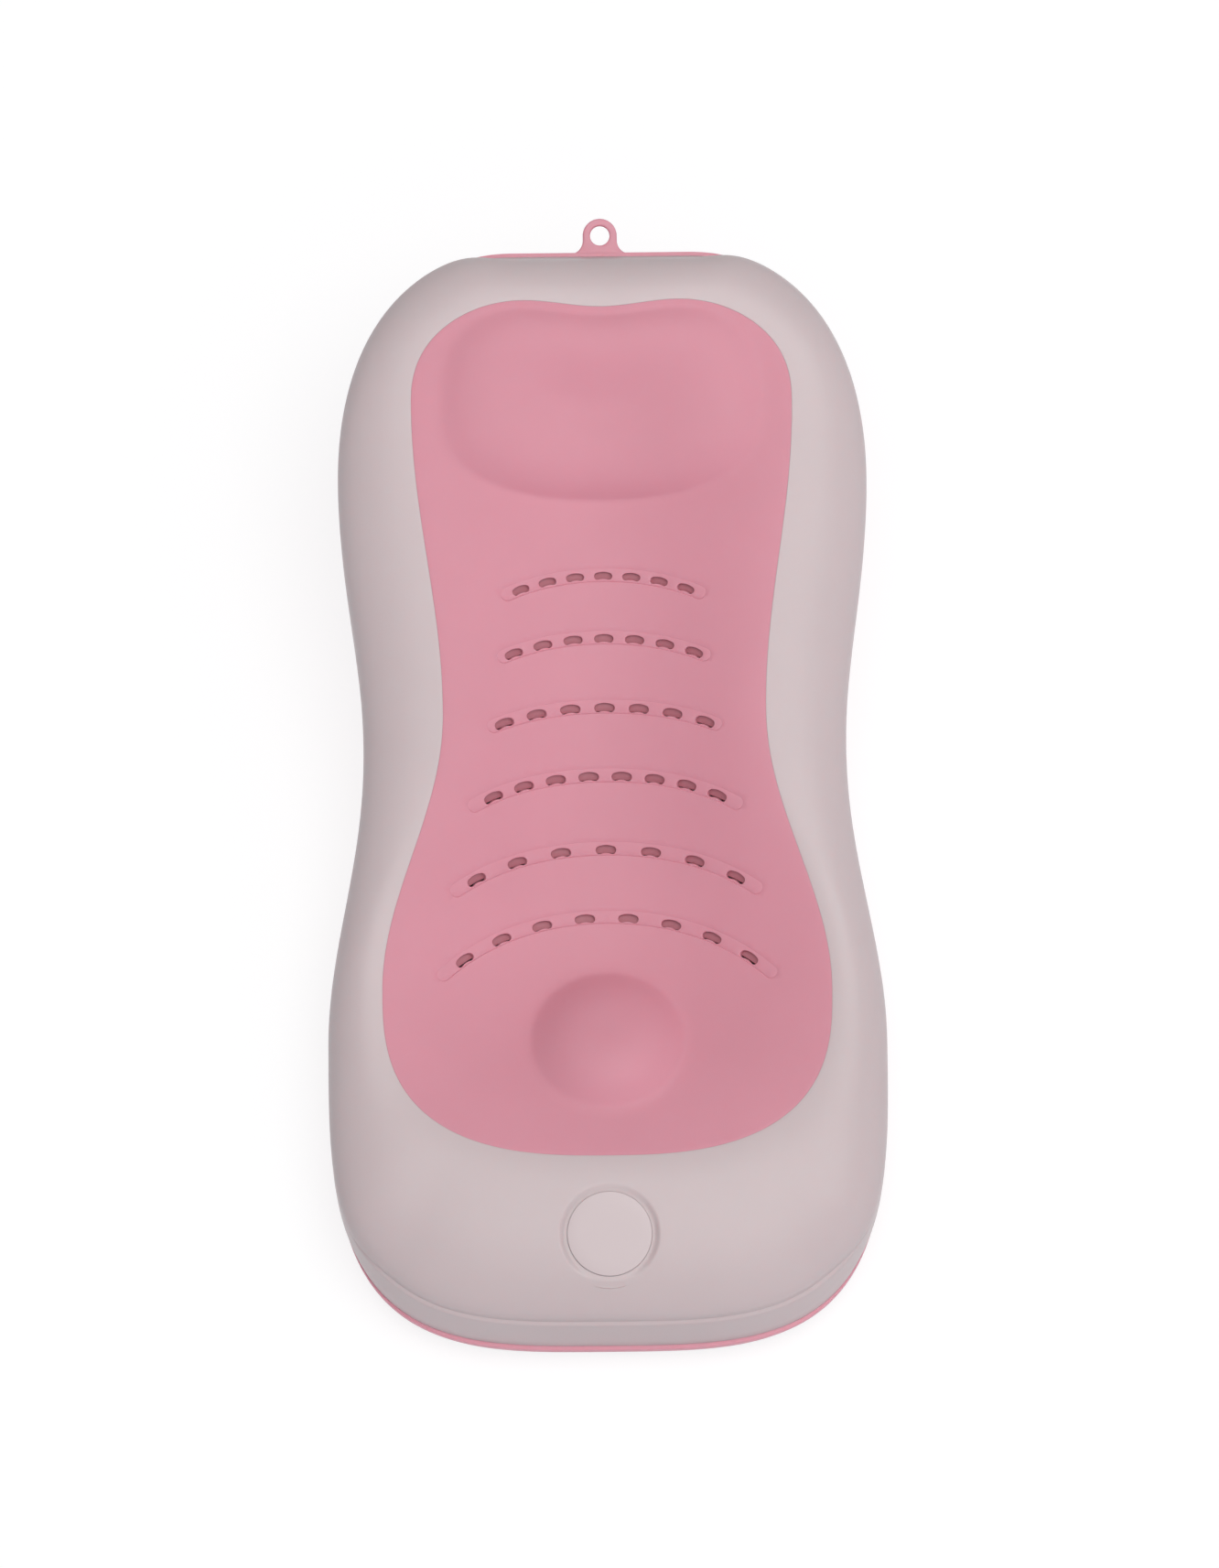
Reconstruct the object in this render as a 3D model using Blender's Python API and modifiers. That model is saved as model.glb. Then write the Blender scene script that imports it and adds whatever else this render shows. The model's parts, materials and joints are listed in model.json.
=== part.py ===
"""Reclined infant bath support: white rim casing, pink slotted soft pad on a deck, pink base casing.

Metres, +Z up, +Y towards the head, +X across. Stations are distances from the foot end of the base,
and setbacks from its head end.
"""

import math
from collections import namedtuple

import bmesh
import bpy
import numpy as np
from mathutils import Matrix, Vector

# Overall lengths
BODY_LENGTH = 0.5563
LOOP_REACH = 0.0178

# White rim outline
FLANGE_REACH = 0.002
RIM_HEAD_HALF = 0.1356
RIM_HEAD_SETBACK = 0.122
RIM_HEAD_SQUARENESS = 2.2
RIM_HEAD_FLAT_HALF = 0.0451
RIM_WAIST_HALF = 0.1238
RIM_WAIST_STATION = 0.3042
RIM_HIP_HALF = 0.1427
RIM_HIP_STATION = 0.1545
RIM_FOOT_SQUARENESS = 3.44

# Soft pad outline
PAD_HEAD_HALF = 0.0973
PAD_HEAD_SETBACK = 0.0899
PAD_HEAD_END_SETBACK = 0.0334
PAD_HEAD_SQUARENESS = 2.4
PAD_HEAD_DIP = 0.0095
PAD_HEAD_DIP_HALF = 0.0389
PAD_WAIST_HALF = 0.0825
PAD_WAIST_STATION = 0.316
PAD_HIP_HALF = 0.1145
PAD_HIP_STATION = 0.1766
PAD_FOOT_END = 0.0893
PAD_FOOT_SQUARENESS = 2.74

# Parting line between the white rim and the base: level under the seat, reclined under the back
FOOT_PARTING_HEIGHT = 0.020
RECLINE = math.radians(17.0)
BEND_STATION = 0.2165
BEND_SOFTNESS = 0.035

# White rim section
SHELL_WALL = 0.0026
SKIRT_HEIGHT = 0.024
SKIRT_BULGE_HEIGHT = 0.0095
FOOT_LEAN = 0.0045
HEAD_LEAN = 0.0062
HEAD_LEAN_POWER = 1.5
LOOP_LEAN = 0.0043
LOOP_LEAN_POWER = 40.0
SKIRT_TUCK = 0.0015
LEDGE_WIDTH = 0.002
LEDGE_RISE = 0.001
CREST_HEIGHT = 0.049
SIDE_ROLL_POWER = 2.6
END_ROLL_POWER = 2.0

# How far an outline's normal turns towards an end before the skirt starts to lean, and until it leans in full
END_TURN_START = 0.2
END_TURN_FULL = 0.8

# Seat trough, below the rim's crest
BACK_DEPTH = 0.017
SEAT_DEPTH = 0.027
LEG_DEPTH = 0.014
BACK_STATION = 0.3535
SEAT_STATION = 0.2035
LEG_STATION = 0.1135
TROUGH_POWER = 2.0

# Soft pad
PAD_STEP = 0.0004
PAD_THICKNESS = 0.0026
PAD_EDGE_GAP = 0.0004
PILLOW_SETBACK = 0.0898
PILLOW_HALF_WIDTH = 0.080
PILLOW_HALF_LENGTH = 0.0435
PILLOW_HEIGHT = 0.009
PILLOW_SQUARENESS = 2.7
PILLOW_CRISPNESS = 6.0
DOME_STATION = 0.1535
DOME_RADIUS = 0.039
DOME_HEIGHT = 0.021
DOME_CRISPNESS = 2.0
BUMP_ROUNDNESS = 0.9
BUMP_ROOT = 0.0016

# Drain slots: each row's share of the way up the back, half span between end slots, bow radius and count
SlotRow = namedtuple("SlotRow", "share half_span bow count")
SLOT_ROWS = (
    SlotRow(1.0, 0.0422, 0.108, 7),
    SlotRow(0.8162, 0.0461, 0.115, 7),
    SlotRow(0.6143, 0.0513, 0.131, 7),
    SlotRow(0.416, 0.0572, 0.128, 8),
    SlotRow(0.2031, 0.0663, 0.130, 7),
    SlotRow(0.0, 0.0728, 0.120, 8),
)
LOW_ROW_ABOVE_DOME = 0.028
HIGH_ROW_BELOW_PILLOW = 0.0358
SLOT_LENGTH = 0.0104
SLOT_WIDTH = 0.0040
SLOT_BEND = 0.009
SLOT_TIP_SHARE = 0.36
WINDOW_MARGIN = 0.0018

# Seat deck
DECK_THICKNESS = 0.0024
DECK_LAP = 0.0062
SEAT_GAP = 0.0003

# Base casing
JOINT_GAP = 0.0003
FLANGE_THICKNESS = 0.004
FLANGE_TUCK = 0.0012
FLANGE_SETBACK = 0.0022
TONGUE_HEIGHT = 0.006
TONGUE_THICKNESS = 0.0022
TONGUE_GAP = 0.0005
BASE_WALL = 0.0026
BASE_DRAFT = math.radians(3.5)
FOOT_LIFT = 0.003

# Hanging loop
LOOP_RADIUS = 0.0088
LOOP_HOLE_RADIUS = 0.0050
LOOP_FILLET = 0.0068
LOOP_THICKNESS = 0.0034
LOOP_ROOT = 0.0045

# Badge disc on the leg slope
BADGE_STATION = 0.049
BADGE_RADIUS = 0.0215
BADGE_THICKNESS = 0.0016
BADGE_DISH_RADIUS = 0.0257
BADGE_DISH_DEPTH = 0.0019
BADGE_FIT = 0.0003
BADGE_BACKING = 0.0045

# Screws
POST_RADIUS = 0.0045
POST_INSET = 0.015
BASE_SCREW_PLACES = (0.22, 0.40, 0.60, 0.925)
LUG_RADIUS = 0.0075
LUG_THICKNESS = 0.003
BOSS_RADIUS = 0.004
BOSS_OUTSET = 0.0085
DECK_SCREW_PLACES = (0.10, 0.30, 0.52, 0.95)
EAR_RADIUS = 0.0075
EAR_DROP = 0.0125
BORE_CLEARANCE = 0.0003
SCREW_SHANK_RADIUS = 0.0015
SCREW_SHANK_LENGTH = 0.011
SCREW_HEAD_RADIUS = 0.0036
SCREW_HEAD_HEIGHT = 0.0022
DECK_HEAD_RADIUS = 0.0062

# Rubber feet
FOOT_RADIUS = 0.0105
FOOT_SEAT_DEPTH = 0.0022
FOOT_EDGE = 0.0012
PLINTH_WALL = 0.003
PLINTH_HEIGHT = 0.009
PLINTH_PROUD = 0.0003
FOOT_PLACES = (0.13, 0.80)

# Mesh fineness
OUTLINE_SAMPLES = 500
SLOPE_REACH = 0.0008
RAYS = 28
ROLL_RINGS = (0.04, 0.13, 0.27, 0.47, 0.72, 1.0)
INNER_RINGS = (0.72, 0.47, 0.27)
PAD_RINGS = (0.0, 0.14, 0.32, 0.54, 0.78, 1.0)
BUMP_RINGS = (0.3, 0.55, 0.75, 0.9, 1.0)
BUMP_ROOT_RINGS = (0.97, 0.75, 0.5, 0.25)
ROUND_SIDES = 12
FINE_SIDES = 28
BORE_SIDES = 8
SLOT_STEPS = 3
WINDOW_STEPS = 10
FILLET_STEPS = 5
ROUND_END_STEPS = 11
MERGE = 0.00005
SHARP_ANGLE = math.radians(35)

# Finishes: colour, roughness and metallic value
Finish = namedtuple("Finish", "colour roughness metallic")
WHITE_PLASTIC = Finish((0.63, 0.54, 0.53), 0.42, 0.0)
PINK_PLASTIC = Finish((0.67, 0.29, 0.35), 0.45, 0.0)
PINK_SOFT_PAD = Finish((0.67, 0.29, 0.35), 0.60, 0.0)
PINK_DECK = Finish((0.62, 0.26, 0.33), 0.50, 0.0)
SCREW_STEEL = Finish((0.55, 0.55, 0.56), 0.35, 1.0)
FOOT_RUBBER = Finish((0.42, 0.40, 0.40), 0.80, 0.0)

OVERALL_LENGTH = BODY_LENGTH + LOOP_REACH
DECK_DEPTH = PAD_STEP + PAD_THICKNESS + SEAT_GAP

Outline = namedtuple(
    "Outline",
    "head_half head_y head_end head_power waist_half waist_y hip_half hip_y foot_end foot_power"
    " flat dip dip_half",
    defaults=(0.0, 0.0, 1.0),
)


def along(station):
    """Y of a station measured from the foot end of the base."""
    return station - OVERALL_LENGTH / 2


def back_from_head(setback):
    """Y of a setback measured from the head end of the base."""
    return along(BODY_LENGTH - setback)


RIM = Outline(
    RIM_HEAD_HALF,
    back_from_head(RIM_HEAD_SETBACK),
    back_from_head(FLANGE_REACH),
    RIM_HEAD_SQUARENESS,
    RIM_WAIST_HALF,
    along(RIM_WAIST_STATION),
    RIM_HIP_HALF,
    along(RIM_HIP_STATION),
    along(FLANGE_REACH),
    RIM_FOOT_SQUARENESS,
    flat=RIM_HEAD_FLAT_HALF,
)
PAD = Outline(
    PAD_HEAD_HALF,
    back_from_head(PAD_HEAD_SETBACK),
    back_from_head(PAD_HEAD_END_SETBACK),
    PAD_HEAD_SQUARENESS,
    PAD_WAIST_HALF,
    along(PAD_WAIST_STATION),
    PAD_HIP_HALF,
    along(PAD_HIP_STATION),
    along(PAD_FOOT_END),
    PAD_FOOT_SQUARENESS,
    dip=PAD_HEAD_DIP,
    dip_half=PAD_HEAD_DIP_HALF,
)


def smooth(t):
    """Smooth step from 0 to 1."""
    t = np.clip(t, 0.0, 1.0)
    return t * t * (3 - 2 * t)


def ease(t):
    """Half a cosine wave from 0 to 1."""
    return (1 - np.cos(math.pi * np.clip(t, 0.0, 1.0))) / 2


def waist_half(shape, y):
    """Half width between the widest place of the head and that of the hips."""
    head_share = ease((y - shape.waist_y) / (shape.head_y - shape.waist_y))
    hip_share = ease((shape.waist_y - y) / (shape.waist_y - shape.hip_y))
    head_gain = (shape.head_half - shape.waist_half) * head_share
    hip_gain = (shape.hip_half - shape.waist_half) * hip_share
    return shape.waist_half + head_gain + hip_gain


def end_cap(half, reach, power, flat):
    """Quarter of a squared-off ellipse beside a flat middle, from its widest place to the centre line."""
    angles = np.linspace(0, math.pi / 2, OUTLINE_SAMPLES)
    wide, long = np.cos(angles) / (half - flat), np.sin(angles) / reach
    radius = (wide**power + long**power) ** (-1 / power)
    return np.append(flat + radius * np.cos(angles), 0.0), np.append(radius * np.sin(angles), reach)


def head_dip(shape, x):
    """Dip of the head edge at a place across."""
    return shape.dip * np.exp(-((x / shape.dip_half) ** 2))


def half_outline(shape, count):
    """Evenly spaced points from the middle of the head, round the +X side, to the middle of the foot."""
    head_x, head_rise = end_cap(shape.head_half, shape.head_end - shape.head_y, shape.head_power, shape.flat)
    foot_x, foot_drop = end_cap(shape.hip_half, shape.hip_y - shape.foot_end, shape.foot_power, 0.0)
    head_y = shape.head_y + head_rise - head_dip(shape, head_x)
    side_y = np.linspace(shape.head_y, shape.hip_y, 2 * OUTLINE_SAMPLES)[1:-1]
    x = np.concatenate([head_x[::-1], waist_half(shape, side_y), foot_x])
    y = np.concatenate([head_y[::-1], side_y, shape.hip_y - foot_drop])
    run = np.concatenate([[0.0], np.cumsum(np.hypot(np.diff(x), np.diff(y)))])
    even = np.linspace(0, run[-1], count)
    points = np.stack([np.interp(even, run, x), np.interp(even, run, y)], axis=1)
    points[[0, -1], 0] = 0.0
    return points


def outward(points):
    """Unit outward normals of a half outline."""
    step = np.gradient(points, axis=0)
    step[[0, -1], 1] = 0.0
    normal = np.stack([-step[:, 1], step[:, 0]], axis=1)
    return normal / np.linalg.norm(normal, axis=1, keepdims=True)


def nearest(points, outline):
    """Distance to the closest point of a dense outline, and that point's index."""
    gap = np.hypot(points[:, None, 0] - outline[None, :, 0], points[:, None, 1] - outline[None, :, 1])
    return gap.min(axis=1), gap.argmin(axis=1)


RIM_LINE = half_outline(RIM, 3 * OUTLINE_SAMPLES)
RIM_NORMAL = outward(RIM_LINE)
PAD_LINE = half_outline(PAD, 3 * OUTLINE_SAMPLES)
PAD_NORMAL = outward(PAD_LINE)
RIM_BAND = nearest(RIM_LINE, PAD_LINE)[0]
RIM_FOOTWARD = smooth((-RIM_NORMAL[:, 1] - END_TURN_START) / (END_TURN_FULL - END_TURN_START))
RIM_HEADWARD = smooth((RIM_NORMAL[:, 1] - END_TURN_START) / (END_TURN_FULL - END_TURN_START))
RIM_HEAD_SHARE = np.maximum(RIM_NORMAL[:, 1], 0.0)
RIM_LEAN = (
    FOOT_LEAN * RIM_FOOTWARD
    + HEAD_LEAN * RIM_HEAD_SHARE**HEAD_LEAN_POWER
    + LOOP_LEAN * RIM_HEAD_SHARE**LOOP_LEAN_POWER
)


def parting(y):
    """Height of the line where the white skirt meets the base."""
    bend = (y - along(BEND_STATION)) / BEND_SOFTNESS
    return FOOT_PARTING_HEIGHT + math.tan(RECLINE) * BEND_SOFTNESS * np.logaddexp(0, bend)


def trough_depth(y):
    """Depth of the seat's centre line below the rim's crest."""
    seat_to_back = smooth((y - along(SEAT_STATION)) / (BACK_STATION - SEAT_STATION))
    seat_to_legs = smooth((along(SEAT_STATION) - y) / (SEAT_STATION - LEG_STATION))
    return SEAT_DEPTH + (BACK_DEPTH - SEAT_DEPTH) * seat_to_back + (LEG_DEPTH - SEAT_DEPTH) * seat_to_legs


def pad_share(x, y):
    """0 on the pad's centre line, 1 on its edge."""
    head_rise = np.maximum(y - PAD.head_y, 0) / (PAD.head_end - PAD.head_y - head_dip(PAD, x))
    foot_drop = np.maximum(PAD.hip_y - y, 0) / (PAD.hip_y - PAD.foot_end)
    across = np.abs(x) / waist_half(PAD, y)
    head = (across**PAD.head_power + head_rise**PAD.head_power) ** (1 / PAD.head_power)
    foot = (across**PAD.foot_power + foot_drop**PAD.foot_power) ** (1 / PAD.foot_power)
    return np.where(y > PAD.waist_y, head, foot)


def seat_height(x, y):
    """Height of the smooth top surface: the rim's roll and, inside the pad's edge, the trough."""
    x, y = np.atleast_1d(x).astype(float), np.atleast_1d(y).astype(float)
    inset, index = nearest(np.stack([np.abs(x), y], axis=1), RIM_LINE)
    footward = RIM_FOOTWARD[index]
    start = RIM_LEAN[index] + LEDGE_WIDTH * footward
    roll = np.clip((inset - start) / (RIM_BAND[index] - start), 0, 1)
    power = SIDE_ROLL_POWER + (END_ROLL_POWER - SIDE_ROLL_POWER) * (footward + RIM_HEADWARD[index])
    rise = (1 - (1 - roll) ** power) ** (1 / power)
    ledge = SKIRT_HEIGHT + LEDGE_RISE
    trough = trough_depth(y) * np.clip(1 - pad_share(x, y) ** TROUGH_POWER, 0, 1) ** TROUGH_POWER
    return parting(y) + ledge + (CREST_HEIGHT - ledge) * rise - trough


def seat_normal(x, y):
    """Upward unit normals of the top surface."""
    reach = SLOPE_REACH
    slope_x = (seat_height(x + reach, y) - seat_height(x - reach, y)) / (2 * reach)
    slope_y = (seat_height(x, y + reach) - seat_height(x, y - reach)) / (2 * reach)
    normal = np.stack([-slope_x, -slope_y, np.ones_like(slope_x)], axis=1)
    return normal / np.linalg.norm(normal, axis=1, keepdims=True)


def sunk(plan, depth):
    """Points of the top surface over plan points, moved down along its normal."""
    x, y = plan[:, 0], plan[:, 1]
    top = np.stack([x, y, seat_height(x, y)], axis=1)
    moved = top - depth * seat_normal(x, y)
    moved[np.abs(x) < 1e-9, 0] = 0.0
    return moved


def at_height(plan, rise):
    """Points over the parting line, raised by rise."""
    return np.column_stack([plan, parting(plan[:, 1]) + rise])


# Scene, materials and mesh helpers
def clear_scene():
    """Removes every object of the start-up scene."""
    for obj in list(bpy.data.objects):
        bpy.data.objects.remove(obj, do_unlink=True)


def new_collection(name):
    """New collection in the scene."""
    collection = bpy.data.collections.new(name)
    bpy.context.scene.collection.children.link(collection)
    return collection


def material(name, finish):
    """Principled material of a finish."""
    made = bpy.data.materials.new(name)
    made.use_nodes = True
    shader = made.node_tree.nodes["Principled BSDF"]
    shader.inputs["Base Color"].default_value = (*finish.colour, 1.0)
    shader.inputs["Roughness"].default_value = finish.roughness
    shader.inputs["Metallic"].default_value = finish.metallic
    made.diffuse_color = (*finish.colour, 1.0)
    return made


def new_object(name, mesh, collection, finish=None):
    """Object of a mesh in a collection, with its material."""
    obj = bpy.data.objects.new(name, mesh)
    collection.objects.link(obj)
    if finish:
        mesh.materials.append(finish)
    return obj


def new_cutter(name, mesh, collection):
    """Helper object for a Boolean, left out of renders."""
    obj = new_object(name, mesh, collection)
    obj.hide_render = True
    obj.display_type = "WIRE"
    return obj


def mesh_of(name, work):
    """Mesh from a bmesh, with outward faces, shaded smooth up to sharp edges."""
    bmesh.ops.recalc_face_normals(work, faces=work.faces)
    mesh = bpy.data.meshes.new(name)
    work.to_mesh(mesh)
    work.free()
    mesh.shade_smooth()
    mesh.set_sharp_from_angle(angle=SHARP_ANGLE)
    return mesh


def lattice(rings, closed):
    """Half surface from rings of points, joined ring to ring; closed joins the last ring to the first."""
    work = bmesh.new()
    rows = [[work.verts.new(point) for point in ring] for ring in rings]
    if closed:
        rows.append(rows[0])
    for near, far in zip(rows, rows[1:]):
        for a, b, c, d in zip(near, near[1:], far[1:], far):
            work.faces.new((a, b, c, d))
    return work


def mirror_half(obj):
    """Mirrors a half that is open at the middle plane."""
    mirror = obj.modifiers.new("mirror", "MIRROR")
    mirror.use_clip = True
    mirror.merge_threshold = MERGE


def triangulate(obj):
    """Splits the facets ahead of the Booleans."""
    obj.modifiers.new("triangulate", "TRIANGULATE")


def thicken(obj, thickness):
    """Gives an open surface a wall below it."""
    solid = obj.modifiers.new("wall", "SOLIDIFY")
    solid.thickness = thickness
    solid.offset = -1.0
    solid.use_even_offset = True


def boolean(obj, other, operation):
    """Joins a helper to the object, or cuts it away."""
    change = obj.modifiers.new(other.name, "BOOLEAN")
    change.object = other
    change.operation = operation
    change.solver = "EXACT"


def add_prism(work, outline, low, high):
    """Adds an upright prism over a closed plan outline."""
    bottom = [work.verts.new((x, y, low)) for x, y in outline]
    top = [work.verts.new((x, y, high)) for x, y in outline]
    work.faces.new(bottom[::-1])
    work.faces.new(top)
    for i in range(len(outline)):
        j = (i + 1) % len(outline)
        work.faces.new((bottom[i], bottom[j], top[j], top[i]))


def circle(x, y, radius, sides):
    """Plan points of a regular polygon outside which the circle doesn't reach."""
    angles = np.arange(sides) * 2 * math.pi / sides
    return np.stack([x + radius * np.cos(angles), y + radius * np.sin(angles)], axis=1)


def add_post(work, x, y, radius, sides, low, depth):
    """Adds an upright post whose top follows the seat's top surface at a depth below it."""
    outline = circle(x, y, radius, sides)
    top = sunk(outline, 0.0)
    top[:, 2] -= depth
    lower = [work.verts.new((px, py, low)) for px, py in outline]
    upper = [work.verts.new(point) for point in top]
    work.faces.new(lower[::-1])
    centre = work.verts.new((x, y, float(seat_height(x, y)[0]) - depth))
    for i in range(sides):
        j = (i + 1) % sides
        work.faces.new((lower[i], lower[j], upper[j], upper[i]))
        work.faces.new((upper[i], upper[j], centre))


def turned(name, profile, collection, finish, sides):
    """Turned piece: (radius, height) points run from the axis at the top to the axis at the bottom."""
    mesh = bpy.data.meshes.new(name)
    edges = [(i, i + 1) for i in range(len(profile) - 1)]
    mesh.from_pydata([(radius, 0.0, height) for radius, height in profile], edges, [])
    obj = new_object(name, mesh, collection, finish)
    add_screw(obj, sides)
    return obj


def add_screw(obj, sides):
    """Turns a profile about the object's Z axis."""
    turn = obj.modifiers.new("turn", "SCREW")
    turn.steps = sides
    turn.render_steps = sides
    turn.use_merge_vertices = True
    turn.merge_threshold = MERGE
    turn.use_smooth_shade = True


def bent_slot(x, y, tilt, length, width, bend, steps):
    """Plan outline of a round-ended slot bowed towards +Y, turned by tilt about its middle."""
    sweep = (length - width) / bend / 2
    inner, outer = bend - width / 2, bend + width / 2
    angles = np.linspace(sweep, -sweep, steps)
    upper = [(outer * math.sin(a), outer * math.cos(a) - bend) for a in -angles]
    lower = [(inner * math.sin(a), inner * math.cos(a) - bend) for a in angles]
    tip = width * SLOT_TIP_SHARE
    tip_x = bend * math.sin(sweep) + tip * math.cos(sweep)
    tip_y = bend * math.cos(sweep) - bend - tip * math.sin(sweep)
    points = np.array(upper + [(tip_x, tip_y)] + lower + [(-tip_x, tip_y)])
    turn = np.array([[math.cos(tilt), math.sin(tilt)], [-math.sin(tilt), math.cos(tilt)]])
    return points @ turn + (x, y)


def row_middle(row):
    """Y of a row on the centre line, from the lowest row over the dome to the highest under the pillow."""
    low = along(DOME_STATION) + DOME_RADIUS + LOW_ROW_ABOVE_DOME
    high = back_from_head(PILLOW_SETBACK) - PILLOW_HALF_LENGTH - HIGH_ROW_BELOW_PILLOW
    return low + row.share * (high - low)


def row_places(row):
    """X, y and tilt of each slot of a row, spread evenly along its bow."""
    reach = math.asin(row.half_span / row.bow)
    middle = row_middle(row) - row.bow
    angles = np.linspace(-reach, reach, row.count).tolist()
    return [(row.bow * math.sin(a), middle + row.bow * math.cos(a), -a) for a in angles]


# Places round the rim
def rim_place(share, inset):
    """Plan place at a share of the half outline from head to foot, inset from the rim."""
    index = round(share * (len(RIM_LINE) - 1))
    return RIM_LINE[index] - inset * RIM_NORMAL[index]


def pad_place(share, outset):
    """Plan place at a share of the pad's half outline, outside its edge."""
    index = round(share * (len(PAD_LINE) - 1))
    return PAD_LINE[index] + outset * PAD_NORMAL[index]


def both_sides(places):
    """Each place and its mirror image."""
    return [(side * x, y) for x, y in places for side in (1, -1)]


def post_inset(share):
    """Inset of a post from the rim, behind the lean of the wall there."""
    return POST_INSET + RIM_LEAN[round(share * (len(RIM_LINE) - 1))]


def base_screw_places():
    """Middles of the posts that the base is screwed to."""
    return both_sides(rim_place(share, post_inset(share)) for share in BASE_SCREW_PLACES)


def deck_screw_places():
    """Middles of the bosses that the deck is screwed to."""
    return both_sides(pad_place(share, BOSS_OUTSET) for share in DECK_SCREW_PLACES)


def base_inset(end_share, height):
    """Inset of the base wall's outer face from the rim's outline, at a drop below its flange."""
    flange = flange_inset(end_share)
    return flange + FLANGE_SETBACK + math.tan(BASE_DRAFT) * height


def flange_inset(end_share):
    """The base's flange shows past the white skirt at the two ends and hides under it at the sides."""
    return FLANGE_TUCK * (1 - end_share) - FLANGE_REACH * end_share


def lug_top(y):
    """Height of a lug's top face, under the post that it carries."""
    return float(parting(y)) - JOINT_GAP - LUG_THICKNESS / 2


def boss_seat(x, y):
    """Height of the flat underside of a deck ear."""
    return float(seat_height(x, y)[0]) - EAR_DROP


def rays():
    """Rim and pad points joined by each ray, the rim's normals, and the nearest dense rim index."""
    rim = half_outline(RIM, RAYS + 1)
    index = nearest(rim, RIM_LINE)[1]
    pad = PAD_LINE[nearest(rim, PAD_LINE)[1]].copy()
    pad[[0, -1]] = PAD_LINE[[0, -1]]
    return rim, pad, RIM_NORMAL[index], index


# Sub-parts
def shell_rings(rim, pad, index):
    """Closed section of the white rim on every ray, outside from skirt to lip, then back inside."""
    reach = np.linalg.norm(pad - rim, axis=1, keepdims=True)
    inward = (pad - rim) / reach
    footward = RIM_FOOTWARD[index][:, None]
    end_share = RIM_NORMAL[index][:, 1:] ** 2
    tuck = SKIRT_TUCK * (1 - end_share)
    lean = RIM_LEAN[index][:, None]
    bulge_lean = lean * SKIRT_BULGE_HEIGHT / SKIRT_HEIGHT
    start = lean + LEDGE_WIDTH * footward
    ledge = SKIRT_HEIGHT + LEDGE_RISE
    outside = [
        at_height(rim + inward * tuck, 0.0),
        at_height(rim + inward * bulge_lean, SKIRT_BULGE_HEIGHT),
        at_height(rim + inward * lean, SKIRT_HEIGHT),
        at_height(rim + inward * start, ledge),
    ]
    for share in ROLL_RINGS:
        outside.append(sunk(rim + inward * (start + (reach - start) * share), 0.0))
    inside = [sunk(pad, SHELL_WALL)]
    for share in INNER_RINGS:
        inside.append(sunk(rim + inward * (start + (reach - start) * share), SHELL_WALL))
    inside.append(at_height(rim + inward * (start + SHELL_WALL), ledge + SHELL_WALL))
    inside.append(at_height(rim + inward * (bulge_lean + SHELL_WALL), SKIRT_BULGE_HEIGHT))
    inside.append(at_height(rim + inward * (tuck + SHELL_WALL), 0.0))
    return outside + inside


def make_upper_shell(parts, cutters, finish):
    """White rim with its screw posts, deck bosses and the badge's dish."""
    rim, pad, _, index = rays()
    mesh = mesh_of("upper_shell", lattice(shell_rings(rim, pad, index), True))
    obj = new_object("upper_shell", mesh, parts, finish)
    mirror_half(obj)
    triangulate(obj)
    added, bores = bmesh.new(), bmesh.new()
    for x, y in base_screw_places():
        foot = lug_top(y) + JOINT_GAP
        add_post(added, x, y, POST_RADIUS, ROUND_SIDES, foot, SHELL_WALL / 2)
        bore = circle(x, y, SCREW_SHANK_RADIUS + BORE_CLEARANCE, BORE_SIDES)
        add_prism(bores, bore, foot - SHELL_WALL, foot + SCREW_SHANK_LENGTH)
    for x, y in deck_screw_places():
        foot = boss_seat(x, y) + JOINT_GAP
        add_post(added, x, y, BOSS_RADIUS, ROUND_SIDES, foot, SHELL_WALL / 2)
        bore = circle(x, y, SCREW_SHANK_RADIUS + BORE_CLEARANCE, BORE_SIDES)
        add_prism(bores, bore, foot - SHELL_WALL, foot + EAR_DROP - 2 * SHELL_WALL)
    badge_y = along(BADGE_STATION)
    backing = float(seat_height(0.0, badge_y)[0]) - SHELL_WALL - BADGE_BACKING
    add_post(added, 0.0, badge_y, BADGE_DISH_RADIUS + SHELL_WALL, FINE_SIDES, backing, SHELL_WALL / 2)
    boolean(obj, new_cutter("shell_posts", mesh_of("shell_posts", added), cutters), "UNION")
    boolean(obj, new_cutter("shell_bores", mesh_of("shell_bores", bores), cutters), "DIFFERENCE")
    boolean(obj, badge_cutter("badge_dish", BADGE_DISH_RADIUS, BADGE_DISH_DEPTH, cutters), "DIFFERENCE")
    seat_radius = BADGE_RADIUS + BADGE_FIT
    seat_depth = BADGE_DISH_DEPTH + BADGE_THICKNESS / 2
    boolean(obj, badge_cutter("badge_seat", seat_radius, seat_depth, cutters), "DIFFERENCE")
    return obj


def badge_frame():
    """Place of the badge: its middle on the leg slope, +Z along the slope's normal."""
    y = along(BADGE_STATION)
    normal = seat_normal(np.array([0.0]), np.array([y]))[0]
    middle = Vector((0.0, y, float(seat_height(0.0, y)[0])))
    tilt = math.atan2(-normal[1], normal[2])
    return Matrix.Translation(middle) @ Matrix.Rotation(tilt, 4, "X")


def badge_cutter(name, radius, depth, cutters):
    """Round cutter square to the leg slope at the badge."""
    work = bmesh.new()
    add_prism(work, circle(0.0, 0.0, radius, FINE_SIDES), -depth, BADGE_RADIUS)
    cutter = new_cutter(name, mesh_of(name, work), cutters)
    cutter.matrix_world = badge_frame()
    return cutter


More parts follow.
